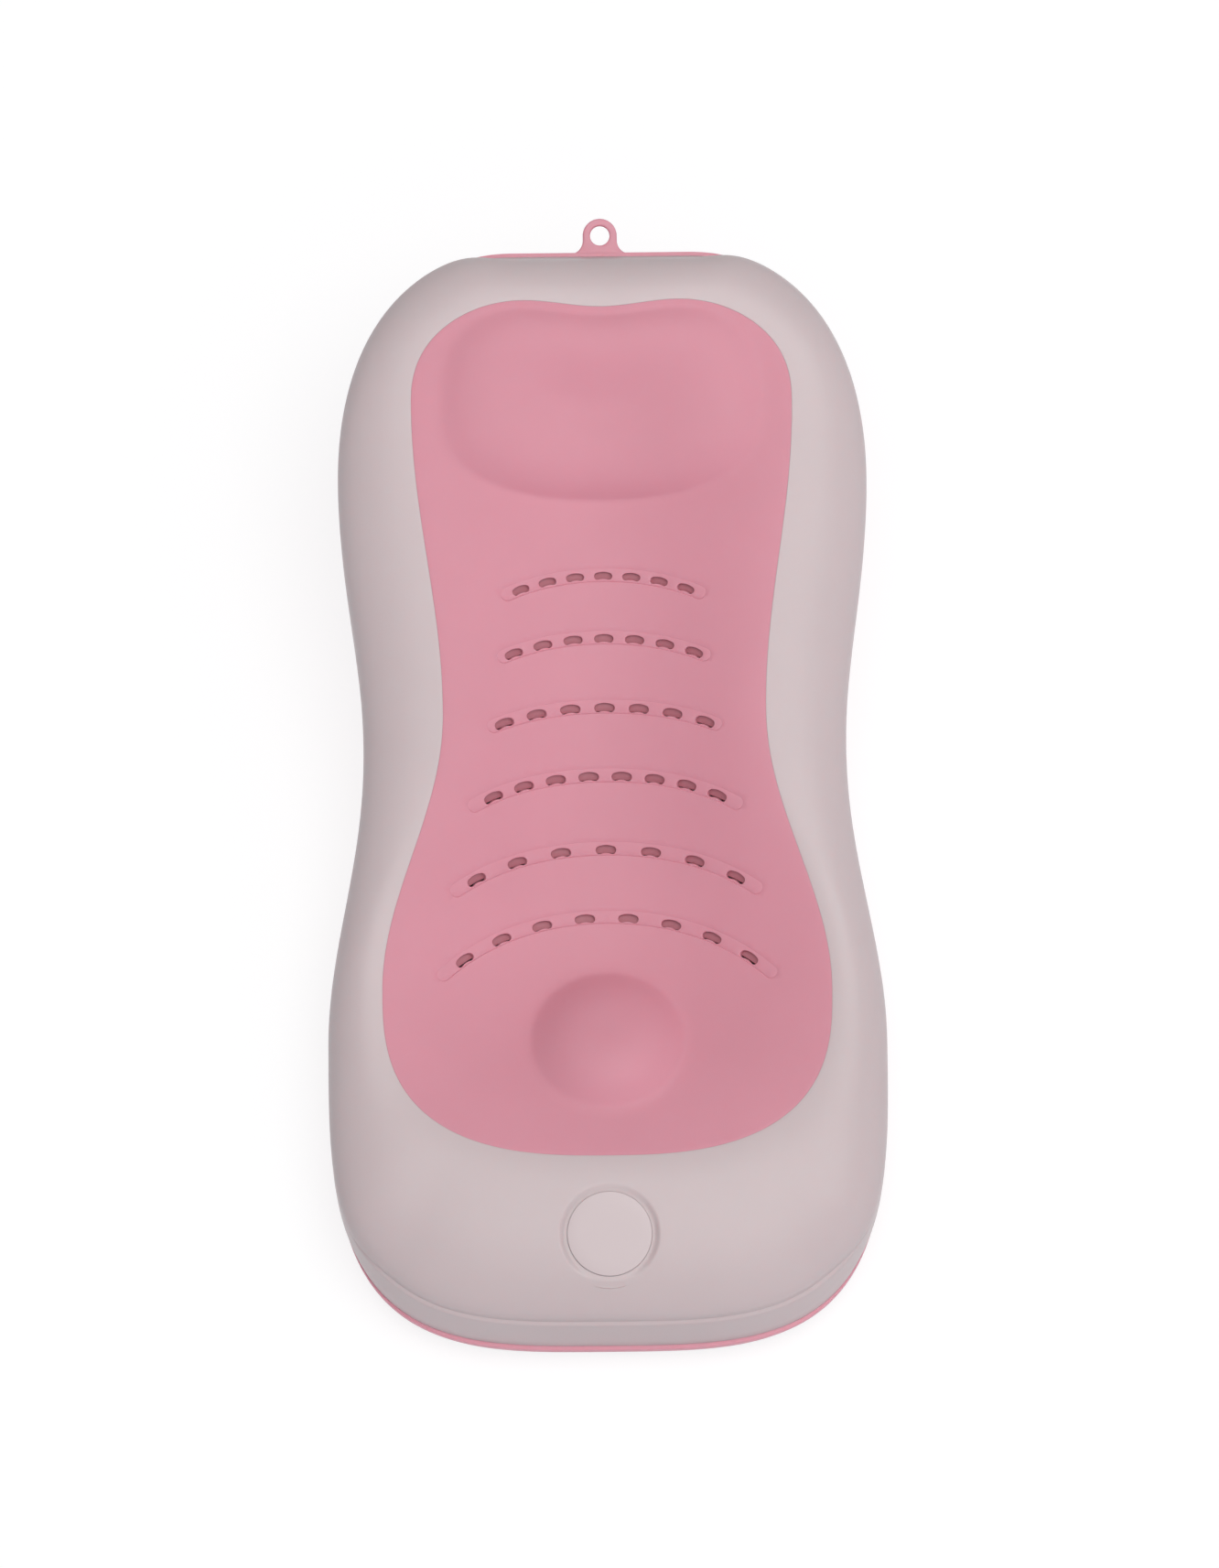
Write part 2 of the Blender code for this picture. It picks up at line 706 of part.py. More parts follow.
def make_badge(parts, finish):
    """Flat disc in the seat of the dish."""
    low = -BADGE_DISH_DEPTH - BADGE_THICKNESS / 2 + BADGE_FIT
    high = low + BADGE_THICKNESS
    edge = BADGE_THICKNESS / 4
    profile = (
        (0.0, high),
        (BADGE_RADIUS - edge, high),
        (BADGE_RADIUS, high - edge),
        (BADGE_RADIUS, low),
        (0.0, low),
    )
    obj = turned("badge_disc", profile, parts, finish, FINE_SIDES)
    obj.matrix_world = badge_frame()


def pad_rings(edge, rings, depth):
    """Rings from an edge line in to the pad's centre line, sunk below the top surface."""
    spine_y = np.clip(edge[:, 1], PAD.hip_y, PAD.head_y)
    spine = np.stack([np.zeros(len(edge)), spine_y], axis=1)
    return [sunk(edge + (spine - edge) * share, depth) for share in rings]


def bump_mesh(name, y, half_width, half_length, squareness, height, crispness):
    """Raised soft form on the pad: rings over a squared ellipse, its root inside the pad's thickness."""
    angles = np.arange(FINE_SIDES) * 2 * math.pi / FINE_SIDES
    wide = (np.abs(np.cos(angles)) / half_width) ** squareness
    long = (np.abs(np.sin(angles)) / half_length) ** squareness
    radius = (wide + long) ** (-1 / squareness)
    edge = np.stack([radius * np.cos(angles), radius * np.sin(angles)], axis=1)
    work = bmesh.new()
    rows = []
    for share in BUMP_RINGS:
        rise = (height + BUMP_ROOT / 2) * (1 - share**crispness) ** BUMP_ROUNDNESS
        rows.append(sunk(edge * share + (0.0, y), PAD_STEP + BUMP_ROOT / 2 - rise))
    for share in BUMP_ROOT_RINGS:
        rows.append(sunk(edge * share + (0.0, y), PAD_STEP + BUMP_ROOT))
    rings = [[work.verts.new(point) for point in row] for row in rows]
    top = work.verts.new(sunk(np.array([[0.0, y]]), PAD_STEP - height)[0])
    bottom = work.verts.new(sunk(np.array([[0.0, y]]), PAD_STEP + BUMP_ROOT)[0])
    for i in range(FINE_SIDES):
        j = (i + 1) % FINE_SIDES
        work.faces.new((top, rings[0][i], rings[0][j]))
        work.faces.new((bottom, rings[-1][j], rings[-1][i]))
        for near, far in zip(rings, rings[1:]):
            work.faces.new((near[i], far[i], far[j], near[j]))
    return mesh_of(name, work)


def make_seat_pad(parts, cutters, finish):
    """Soft pad on the deck, with its pillow, dome and drain slots."""
    rim, pad, _, _ = rays()
    inward = (pad - rim) / np.linalg.norm(pad - rim, axis=1, keepdims=True)
    work = lattice(pad_rings(pad + inward * PAD_EDGE_GAP, PAD_RINGS, PAD_STEP), False)
    bmesh.ops.remove_doubles(work, verts=work.verts, dist=MERGE)
    obj = new_object("seat_pad", upward_mesh("seat_pad", work), parts, finish)
    mirror_half(obj)
    triangulate(obj)
    thicken(obj, PAD_THICKNESS)
    pillow = bump_mesh(
        "pillow",
        back_from_head(PILLOW_SETBACK),
        PILLOW_HALF_WIDTH,
        PILLOW_HALF_LENGTH,
        PILLOW_SQUARENESS,
        PILLOW_HEIGHT,
        PILLOW_CRISPNESS,
    )
    dome = bump_mesh("dome", along(DOME_STATION), DOME_RADIUS, DOME_RADIUS, 2.0, DOME_HEIGHT, DOME_CRISPNESS)
    boolean(obj, new_cutter("pillow", pillow, cutters), "UNION")
    boolean(obj, new_cutter("dome", dome, cutters), "UNION")
    boolean(obj, slot_cutter(cutters), "DIFFERENCE")


def upward_mesh(name, work):
    """Mesh of an open surface with every face looking up."""
    mesh = mesh_of(name, work)
    if sum(face.normal.z * face.area for face in mesh.polygons) < 0:
        mesh.flip_normals()
    return mesh


def slot_cutter(cutters):
    """All the drain slots of the pad."""
    work = bmesh.new()
    for row in SLOT_ROWS:
        for x, y, tilt in row_places(row):
            middle = float(seat_height(x, y)[0])
            outline = bent_slot(x, y, tilt, SLOT_LENGTH, SLOT_WIDTH, SLOT_BEND, SLOT_STEPS)
            add_prism(work, outline, middle - 2 * SLOT_LENGTH, middle + 2 * SLOT_LENGTH)
    return new_cutter("pad_slots", mesh_of("pad_slots", work), cutters)


def window_cutter(cutters):
    """A bowed window in the deck under each row of slots."""
    work = bmesh.new()
    for row in SLOT_ROWS:
        length = 2 * row.bow * math.asin(row.half_span / row.bow) + SLOT_LENGTH + 2 * WINDOW_MARGIN
        width = SLOT_WIDTH + 2 * WINDOW_MARGIN
        y = row_middle(row)
        middle = float(seat_height(0.0, y)[0])
        outline = bent_slot(0.0, y, 0.0, length, width, row.bow, WINDOW_STEPS)
        add_prism(work, outline, middle - 2 * SEAT_DEPTH, middle + 2 * SEAT_DEPTH)
    return new_cutter("deck_windows", mesh_of("deck_windows", work), cutters)


def make_seat_deck(parts, cutters, finish):
    """Rigid carrier under the pad, lapping under the rim, with an ear on each boss."""
    rim, pad, _, _ = rays()
    outside = (rim - pad) / np.linalg.norm(rim - pad, axis=1, keepdims=True)
    rings = [sunk(pad + outside * DECK_LAP, DECK_DEPTH)] + pad_rings(pad, PAD_RINGS, DECK_DEPTH)
    work = lattice(rings, False)
    bmesh.ops.remove_doubles(work, verts=work.verts, dist=MERGE)
    obj = new_object("seat_deck", upward_mesh("seat_deck", work), parts, finish)
    mirror_half(obj)
    triangulate(obj)
    thicken(obj, DECK_THICKNESS)
    ears, bores = bmesh.new(), bmesh.new()
    for x, y in deck_screw_places():
        low = boss_seat(x, y)
        add_post(ears, x, y, EAR_RADIUS, ROUND_SIDES, low, DECK_DEPTH + DECK_THICKNESS / 2)
        bore = circle(x, y, BOSS_RADIUS + BORE_CLEARANCE, ROUND_SIDES)
        add_prism(bores, bore, low - EAR_DROP, low + 2 * EAR_DROP)
    boolean(obj, new_cutter("deck_ears", mesh_of("deck_ears", ears), cutters), "UNION")
    boolean(obj, new_cutter("deck_bores", mesh_of("deck_bores", bores), cutters), "DIFFERENCE")
    boolean(obj, window_cutter(cutters), "DIFFERENCE")


def base_rings(rim, normal, index):
    """Closed section of the base casing on every ray: flange, tongue inside the skirt, drafted wall."""
    end_share = normal[:, 1:] ** 2
    flange = flange_inset(end_share)
    drop = parting(rim[:, 1])[:, None] - JOINT_GAP - FLANGE_THICKNESS - FOOT_LIFT
    top_wall = base_inset(end_share, 0.0)
    low_wall = base_inset(end_share, drop)
    tongue = SKIRT_TUCK * (1 - end_share) + SHELL_WALL + TONGUE_GAP
    tongue_top = tongue + RIM_LEAN[index][:, None] * TONGUE_HEIGHT / SKIRT_HEIGHT

    def level(plan):
        return np.column_stack([plan, np.full(len(plan), FOOT_LIFT)])

    return [
        at_height(rim - normal * flange, -JOINT_GAP - FLANGE_THICKNESS),
        at_height(rim - normal * flange, -JOINT_GAP),
        at_height(rim - normal * tongue, -JOINT_GAP),
        at_height(rim - normal * tongue_top, TONGUE_HEIGHT),
        at_height(rim - normal * (tongue_top + TONGUE_THICKNESS), TONGUE_HEIGHT),
        at_height(rim - normal * (tongue + TONGUE_THICKNESS), -JOINT_GAP - FLANGE_THICKNESS),
        level(rim - normal * (low_wall + BASE_WALL)),
        level(rim - normal * low_wall),
        at_height(rim - normal * top_wall, -JOINT_GAP - FLANGE_THICKNESS),
    ]


def loop_frame():
    """Place of the loop: +Y along the reclined flange from its head edge."""
    y = back_from_head(0.0)
    height = float(parting(y)) - JOINT_GAP - FLANGE_THICKNESS / 2
    return Matrix.Translation((0.0, y, height)) @ Matrix.Rotation(RECLINE, 4, "X")


def loop_eye():
    """Distance of the eye's middle from the flange, so that the tip ends at the loop's reach."""
    reach = (LOOP_REACH - LOOP_THICKNESS / 2 * math.sin(RECLINE)) / math.cos(RECLINE)
    return reach - LOOP_RADIUS


def loop_tab(cutters):
    """Flat tab with a round end, and a fillet at each side of its root."""
    foot = LOOP_RADIUS + LOOP_FILLET
    bends = np.linspace(0, math.pi / 2, FILLET_STEPS)
    right = [(foot - LOOP_FILLET * math.sin(a), LOOP_FILLET * (1 - math.cos(a))) for a in bends]
    right.insert(0, (foot, -LOOP_ROOT))
    ends = np.linspace(0, math.pi, ROUND_END_STEPS)
    end = [(LOOP_RADIUS * math.cos(a), loop_eye() + LOOP_RADIUS * math.sin(a)) for a in ends]
    left = [(-x, y) for x, y in right[::-1]]
    work = bmesh.new()
    add_prism(work, right + end + left, -LOOP_THICKNESS / 2, LOOP_THICKNESS / 2)
    tab = new_cutter("loop_tab", mesh_of("loop_tab", work), cutters)
    tab.matrix_world = loop_frame()
    return tab


def loop_hole(cutters):
    """Round hole for a hook."""
    work = bmesh.new()
    add_prism(work, circle(0.0, loop_eye(), LOOP_HOLE_RADIUS, ROUND_SIDES), -LOOP_THICKNESS, LOOP_THICKNESS)
    hole = new_cutter("loop_hole", mesh_of("loop_hole", work), cutters)
    hole.matrix_world = loop_frame()
    return hole


def add_lug(work, share, side):
    """Adds a round-ended lug that reaches in from the flange under a post."""
    index = round(share * (len(RIM_LINE) - 1))
    out = RIM_NORMAL[index]
    middle = rim_place(share, post_inset(share))
    across = np.array([-out[1], out[0]])
    reach = post_inset(share) - SHELL_WALL - TONGUE_THICKNESS
    turns = np.linspace(0, math.pi, ROUND_END_STEPS)
    round_end = [middle + LUG_RADIUS * (math.cos(a) * across - math.sin(a) * out) for a in turns]
    outline = round_end + [round_end[-1] + reach * out, round_end[0] + reach * out]
    top = lug_top(middle[1])
    add_prism(work, [(side * x, y) for x, y in outline], top - LUG_THICKNESS, top)


def foot_places():
    """Middles of the plinths, each one joined to the inside of the base wall."""
    places = []
    for share in FOOT_PLACES:
        index = round(share * (len(RIM_LINE) - 1))
        end_share = RIM_NORMAL[index][1] ** 2
        drop = float(parting(RIM_LINE[index][1])) - JOINT_GAP - FLANGE_THICKNESS - FOOT_LIFT
        places.append(rim_place(share, base_inset(end_share, drop) + BASE_WALL / 2 + plinth_radius()))
    return both_sides(places)


def plinth_radius():
    """Radius of the plinth that holds a rubber foot."""
    return FOOT_RADIUS + BORE_CLEARANCE + PLINTH_WALL


def make_base_casing(parts, cutters, finish):
    """Open wedge casing with its lugs, plinths and hanging loop."""
    rim, _, normal, index = rays()
    mesh = mesh_of("base_casing", lattice(base_rings(rim, normal, index), True))
    obj = new_object("base_casing", mesh, parts, finish)
    mirror_half(obj)
    triangulate(obj)
    added, bores = bmesh.new(), bmesh.new()
    for share in BASE_SCREW_PLACES:
        for side in (1, -1):
            add_lug(added, share, side)
    for x, y in base_screw_places():
        bore = circle(x, y, SCREW_SHANK_RADIUS + BORE_CLEARANCE, BORE_SIDES)
        add_prism(bores, bore, lug_top(y) - 2 * LUG_THICKNESS, lug_top(y) + LUG_THICKNESS)
    for x, y in foot_places():
        low = FOOT_LIFT - PLINTH_PROUD
        add_prism(added, circle(x, y, plinth_radius(), ROUND_SIDES), low, low + PLINTH_HEIGHT)
        seat = circle(x, y, FOOT_RADIUS + BORE_CLEARANCE, ROUND_SIDES)
        add_prism(bores, seat, low - FOOT_SEAT_DEPTH, low + FOOT_SEAT_DEPTH)
    boolean(obj, new_cutter("base_lugs", mesh_of("base_lugs", added), cutters), "UNION")
    boolean(obj, loop_tab(cutters), "UNION")
    boolean(obj, new_cutter("base_bores", mesh_of("base_bores", bores), cutters), "DIFFERENCE")
    boolean(obj, loop_hole(cutters), "DIFFERENCE")


def screw_profile(head_radius, shank_length):
    """Screw standing on its head: the shank's tip is at the top, the seat of the head at height 0."""
    edge = SCREW_HEAD_HEIGHT / 3
    return (
        (0.0, shank_length),
        (SCREW_SHANK_RADIUS, shank_length - SCREW_SHANK_RADIUS),
        (SCREW_SHANK_RADIUS, 0.0),
        (head_radius, 0.0),
        (head_radius, edge - SCREW_HEAD_HEIGHT),
        (head_radius - edge, -SCREW_HEAD_HEIGHT),
        (0.0, -SCREW_HEAD_HEIGHT),
    )


def make_screws(parts, finish):
    """Screws up through the base's lugs and through the deck's ears."""
    for number, (x, y) in enumerate(base_screw_places(), 1):
        profile = screw_profile(SCREW_HEAD_RADIUS, SCREW_SHANK_LENGTH)
        screw = turned(f"base_screw_{number}", profile, parts, finish, BORE_SIDES)
        screw.location = (x, y, lug_top(y) - LUG_THICKNESS - JOINT_GAP)
    for number, (x, y) in enumerate(deck_screw_places(), 1):
        profile = screw_profile(DECK_HEAD_RADIUS, EAR_DROP - 2 * SHELL_WALL - JOINT_GAP)
        screw = turned(f"deck_screw_{number}", profile, parts, finish, BORE_SIDES)
        screw.location = (x, y, boss_seat(x, y) - JOINT_GAP)


def make_feet(parts, finish):
    """Rubber feet in the plinths."""
    top = FOOT_LIFT - PLINTH_PROUD + FOOT_SEAT_DEPTH - JOINT_GAP
    profile = (
        (0.0, top),
        (FOOT_RADIUS, top),
        (FOOT_RADIUS, FOOT_EDGE),
        (FOOT_RADIUS - FOOT_EDGE, 0.0),
        (0.0, 0.0),
    )
    for number, (x, y) in enumerate(foot_places(), 1):
        foot = turned(f"foot_pad_{number}", profile, parts, finish, ROUND_SIDES)
        foot.location = (x, y, 0.0)


def main():
    """Builds the support."""
    clear_scene()
    parts = new_collection("infant_bath_support")
    cutters = new_collection("cutters")
    make_upper_shell(parts, cutters, material("white_plastic", WHITE_PLASTIC))
    make_badge(parts, material("badge_white", WHITE_PLASTIC))
    make_seat_pad(parts, cutters, material("pink_soft_pad", PINK_SOFT_PAD))
    make_seat_deck(parts, cutters, material("pink_deck", PINK_DECK))
    make_base_casing(parts, cutters, material("pink_plastic", PINK_PLASTIC))
    make_screws(parts, material("screw_steel", SCREW_STEEL))
    make_feet(parts, material("foot_rubber", FOOT_RUBBER))


main()
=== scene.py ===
"""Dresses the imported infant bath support: fine surfaces, finishes, studio and camera.

Metres, +Z up, +Y towards the head, +X across. Stations are distances from the foot end of the base,
and setbacks from its head end.
"""

import json
import logging
import math
from collections.abc import Callable, Sequence
from dataclasses import dataclass, field
from enum import Enum
from functools import cached_property, partial

import bmesh
import bpy
import numpy as np
from mathutils import Matrix, Vector
from mathutils.geometry import delaunay_2d_cdt
from mathutils.kdtree import KDTree

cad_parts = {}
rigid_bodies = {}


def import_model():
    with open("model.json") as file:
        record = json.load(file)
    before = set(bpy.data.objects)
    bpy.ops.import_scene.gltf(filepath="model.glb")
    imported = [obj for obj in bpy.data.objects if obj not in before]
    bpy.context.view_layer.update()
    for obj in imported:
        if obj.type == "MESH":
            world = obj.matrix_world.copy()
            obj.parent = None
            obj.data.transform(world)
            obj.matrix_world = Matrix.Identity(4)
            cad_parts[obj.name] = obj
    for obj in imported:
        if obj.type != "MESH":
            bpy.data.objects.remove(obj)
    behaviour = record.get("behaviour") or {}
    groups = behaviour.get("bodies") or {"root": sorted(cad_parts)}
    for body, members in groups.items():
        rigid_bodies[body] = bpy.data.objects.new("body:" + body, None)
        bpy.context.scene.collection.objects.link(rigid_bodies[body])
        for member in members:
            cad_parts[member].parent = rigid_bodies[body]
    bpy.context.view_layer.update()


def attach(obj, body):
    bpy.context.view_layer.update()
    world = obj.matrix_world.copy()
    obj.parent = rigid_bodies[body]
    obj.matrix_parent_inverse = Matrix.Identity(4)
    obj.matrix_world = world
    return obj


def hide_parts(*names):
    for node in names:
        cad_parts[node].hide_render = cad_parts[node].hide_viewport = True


LOG = logging.getLogger("bath_support")
BODY = "root"
DENSE = 1500
SHARP = math.radians(40)
SAME_PLACE = 1e-9
LEVEL_RISE = 1e-12
HALVINGS = 40
ROUNDING_ANGLES = np.radians((30.0, 60.0, 90.0))
Loop = np.ndarray


class Slot(Enum):
    """Material slots of the record."""

    WHITE = "white_plastic"
    BADGE = "badge_white"
    PAD = "pink_soft_pad"
    DECK = "pink_deck"
    BASE = "pink_plastic"
    STEEL = "screw_steel"
    RUBBER = "foot_rubber"


class Cut(Enum):
    """What a helper does to a piece."""

    JOIN = "UNION"
    REMOVE = "DIFFERENCE"


def smooth(t: np.ndarray) -> np.ndarray:
    """Smooth step from 0 to 1."""
    t = np.clip(t, 0.0, 1.0)
    return t * t * (3 - 2 * t)


def ease(t: np.ndarray) -> np.ndarray:
    """Half a cosine wave from 0 to 1."""
    return (1 - np.cos(math.pi * np.clip(t, 0.0, 1.0))) / 2


def unit(vectors: np.ndarray) -> np.ndarray:
    """Rows scaled to length 1."""
    return vectors / np.linalg.norm(vectors, axis=-1, keepdims=True)


def outward(points: Loop) -> Loop:
    """Unit outward normals of a half outline that runs from head to foot round the +X side."""
    step = np.gradient(points, axis=0)
    step[[0, -1], 1] = 0.0
    return unit(np.stack([-step[:, 1], step[:, 0]], axis=1))


def nearest(points: Loop, line: Loop) -> np.ndarray:
    """Index of the closest point of a line for every point.

    Args:
        points: Plan points.
        line: Dense plan line.

    Returns:
        One index per point.
    """
    tree = KDTree(len(line))
    for number, (x, y) in enumerate(line):
        tree.insert((x, y, 0.0), number)
    tree.balance()
    return np.array([tree.find((x, y, 0.0))[1] for x, y in points])


def whole(half: np.ndarray) -> np.ndarray:
    """Closed ring from a half ring that starts and ends on the middle plane."""
    mirror = half[-2:0:-1].copy()
    mirror[:, 0] *= -1
    return np.concatenate([half, mirror])


def inside(points: Loop, loop: Loop) -> np.ndarray:
    """True for the plan points inside a closed loop."""
    x, y = points[:, :1], points[:, 1:]
    x0, y0 = loop[:, 0], loop[:, 1]
    x1, y1 = np.roll(x0, -1), np.roll(y0, -1)
    rise = np.where(np.abs(y1 - y0) < LEVEL_RISE, LEVEL_RISE, y1 - y0)
    crossed = ((y0 > y) != (y1 > y)) & (x < (x1 - x0) * (y - y0) / rise + x0)
    return crossed.sum(axis=1) % 2 == 1


@dataclass(frozen=True)
class Outline:
    """Plan outline with a squared-off head and foot and a waist between them."""

    head_half: float
    head_y: float
    head_end: float
    head_power: float
    waist_half: float
    waist_y: float
    hip_half: float
    hip_y: float
    foot_end: float
    foot_power: float
    flat: float = 0.0
    dip: float = 0.0
    dip_half: float = 1.0

    def head_dip(self, x: np.ndarray) -> np.ndarray:
        """Dip of the head edge at a place across."""
        return self.dip * np.exp(-((x / self.dip_half) ** 2))

    def half_width(self, y: np.ndarray) -> np.ndarray:
        """Half width between the widest place of the head and that of the hips."""
        head = ease((y - self.waist_y) / (self.head_y - self.waist_y))
        hips = ease((self.waist_y - y) / (self.waist_y - self.hip_y))
        return (
            self.waist_half
            + (self.head_half - self.waist_half) * head
            + (self.hip_half - self.waist_half) * hips
        )

    @staticmethod
    def end_cap(half: float, reach: float, power: float, flat: float) -> tuple[np.ndarray, np.ndarray]:
        """Quarter of a squared-off ellipse beside a flat middle, from widest place to centre line."""
        angles = np.linspace(0, math.pi / 2, DENSE)
        wide, long = np.cos(angles) / (half - flat), np.sin(angles) / reach
        radius = (wide**power + long**power) ** (-1 / power)
        return np.append(flat + radius * np.cos(angles), 0.0), np.append(radius * np.sin(angles), reach)

    def line(self, shares: np.ndarray) -> Loop:
        """Points from the middle of the head, round the +X side, to the middle of the foot.

        Args:
            shares: Each point's share of the way, from 0 to 1.

        Returns:
            Plan points, one row each.
        """
        head_x, rise = self.end_cap(self.head_half, self.head_end - self.head_y, self.head_power, self.flat)
        foot_x, drop = self.end_cap(self.hip_half, self.hip_y - self.foot_end, self.foot_power, 0.0)
        head_y = self.head_y + rise - self.head_dip(head_x)
        side_y = np.linspace(self.head_y, self.hip_y, 2 * DENSE)[1:-1]
        x = np.concatenate([head_x[::-1], self.half_width(side_y), foot_x])
        y = np.concatenate([head_y[::-1], side_y, self.hip_y - drop])
        run = np.concatenate([[0.0], np.cumsum(np.hypot(np.diff(x), np.diff(y)))])
        places = shares * run[-1]
        points = np.stack([np.interp(places, run, x), np.interp(places, run, y)], axis=1)
        points[[0, -1], 0] = 0.0
        return points

    def share(self, x: np.ndarray, y: np.ndarray) -> np.ndarray:
        """0 on the centre line, 1 on the outline."""
        rise = np.maximum(y - self.head_y, 0) / (self.head_end - self.head_y - self.head_dip(x))
        drop = np.maximum(self.hip_y - y, 0) / (self.hip_y - self.foot_end)
        across = np.abs(x) / self.half_width(y)
        head = (across**self.head_power + rise**self.head_power) ** (1 / self.head_power)
        foot = (across**self.foot_power + drop**self.foot_power) ** (1 / self.foot_power)
        return np.where(y > self.waist_y, head, foot)


@dataclass(frozen=True)
class Rays:
    """Rim and pad points joined across the white rim, for one half, with what changes round the rim."""

    rim: np.ndarray
    pad: np.ndarray
    normal: np.ndarray
    inward: np.ndarray
    reach: np.ndarray
    footward: np.ndarray
    headward: np.ndarray
    lean: np.ndarray
    end_share: np.ndarray


@dataclass(frozen=True)
class BodyForm:
    """Driving sizes of the support and the smooth surfaces that its pieces follow."""

    body_length: float = 0.5563
    loop_reach: float = 0.0178
    flange_reach: float = 0.002
    foot_parting: float = 0.020
    recline: float = math.radians(17.0)
    bend_station: float = 0.2165
    bend_softness: float = 0.035
    skirt_height: float = 0.024
    skirt_bulge: float = 0.0095
    skirt_tuck: float = 0.0015
    foot_lean: float = 0.0045
    head_lean: float = 0.0062
    head_lean_power: float = 1.5
    loop_lean: float = 0.0043
    loop_lean_power: float = 40.0
    ledge_width: float = 0.002
    ledge_rise: float = 0.001
    crest: float = 0.049
    side_power: float = 2.6
    end_power: float = 2.0
    turn_start: float = 0.2
    turn_full: float = 0.8
    back_depth: float = 0.017
    seat_depth: float = 0.027
    leg_depth: float = 0.014
    back_station: float = 0.3535
    seat_station: float = 0.2035
    leg_station: float = 0.1135
    basin_reach: float = 0.18
    shell_wall: float = 0.0026
    pad_step: float = 0.0004
    pad_thickness: float = 0.0026
    seat_gap: float = 0.0003
    joint_gap: float = 0.0003
    slope_reach: float = 0.0008
    ray_softness: int = 150
    even_rays: int = 280
    fine_rays: int = 56
    fine_share: float = 0.06

    def along(self, station: float) -> float:
        """Y of a station measured from the foot end of the base."""
        return station - (self.body_length + self.loop_reach) / 2

    def back_from_head(self, setback: float) -> float:
        """Y of a setback measured from the head end of the base."""
        return self.along(self.body_length - setback)

    @cached_property
    def rim(self) -> Outline:
        """Outline of the white rim."""
        return Outline(
            head_half=0.1356,
            head_y=self.back_from_head(0.122),
            head_end=self.back_from_head(self.flange_reach),
            head_power=2.2,
            waist_half=0.1238,
            waist_y=self.along(0.3042),
            hip_half=0.1427,
            hip_y=self.along(0.1545),
            foot_end=self.along(self.flange_reach),
            foot_power=3.44,
            flat=0.0451,
        )

    @cached_property
    def pad(self) -> Outline:
        """Outline of the soft pad."""
        return Outline(
            head_half=0.0973,
            head_y=self.back_from_head(0.0899),
            head_end=self.back_from_head(0.0334),
            head_power=2.4,
            waist_half=0.0825,
            waist_y=self.along(0.316),
            hip_half=0.1145,
            hip_y=self.along(0.1766),
            foot_end=self.along(0.0893),
            foot_power=2.74,
            dip=0.0095,
            dip_half=0.0389,
        )

    @cached_property
    def rim_line(self) -> Loop:
        """Dense half line of the rim."""
        return self.rim.line(np.linspace(0, 1, DENSE))

    @cached_property
    def rim_normal(self) -> Loop:
        """Outward normals of the dense rim line."""
        return outward(self.rim_line)

    @cached_property
    def pad_line(self) -> Loop:
        """Dense half line of the pad's edge."""
        return self.pad.line(np.linspace(0, 1, DENSE))

    @cached_property
    def rim_band(self) -> np.ndarray:
        """Width of the white rim at every point of its dense line."""
        gap = self.rim_line - self.pad_line[nearest(self.rim_line, self.pad_line)]
        return np.linalg.norm(gap, axis=1)

    def turn(self, normal: Loop, side: float) -> np.ndarray:
        """How far the rim has turned towards the head (side 1) or the foot (side -1), from 0 to 1."""
        return smooth((side * normal[:, 1] - self.turn_start) / (self.turn_full - self.turn_start))

    def lean(self, normal: Loop) -> np.ndarray:
        """How far the skirt leans in over its height."""
        head = np.maximum(normal[:, 1], 0.0)
        return (
            self.foot_lean * self.turn(normal, -1.0)
            + self.head_lean * head**self.head_lean_power
            + self.loop_lean * head**self.loop_lean_power
        )

    @cached_property
    def pad_shares(self) -> np.ndarray:
        """Share of the pad's half line that faces each point of the dense rim line."""
        run = nearest(self.rim_line, self.pad_line) / (DENSE - 1.0)
        run[[0, -1]] = 0.0, 1.0
        reach = self.ray_softness
        mirrored = np.concatenate([-run[reach:0:-1], run, 2 - run[-2 : -reach - 2 : -1]])
        window = np.hanning(2 * reach + 3)[1:-1]
        return np.convolve(mirrored, window / window.sum(), mode="valid")

    @cached_property
    def rays(self) -> Rays:
        """Lines across the white rim, closer together behind the badge.

        Returns:
            The rays, with columns as arrays of one column.
        """
        even = np.linspace(0, 1 - self.fine_share, self.even_rays, endpoint=False)
        shares = np.concatenate([even, np.linspace(1 - self.fine_share, 1, self.fine_rays)])
        dense = np.linspace(0, 1, DENSE)
        rim = self.rim.line(shares)
        normal = np.stack([np.interp(shares, dense, self.rim_normal[:, axis]) for axis in (0, 1)], axis=1)
        pad = self.pad.line(np.interp(shares, dense, self.pad_shares))
        across = pad - rim
        return Rays(
            rim=rim,
            pad=pad,
            normal=normal,
            inward=unit(across),
            reach=np.linalg.norm(across, axis=1, keepdims=True),
            footward=self.turn(normal, -1.0)[:, None],
            headward=self.turn(normal, 1.0)[:, None],
            lean=self.lean(normal)[:, None],
            end_share=normal[:, 1:] ** 2,
        )

    def parting(self, y: np.ndarray) -> np.ndarray:
        """Height of the line where the white skirt meets the base."""
        bend = (y - self.along(self.bend_station)) / self.bend_softness
        return self.foot_parting + math.tan(self.recline) * self.bend_softness * np.logaddexp(0, bend)

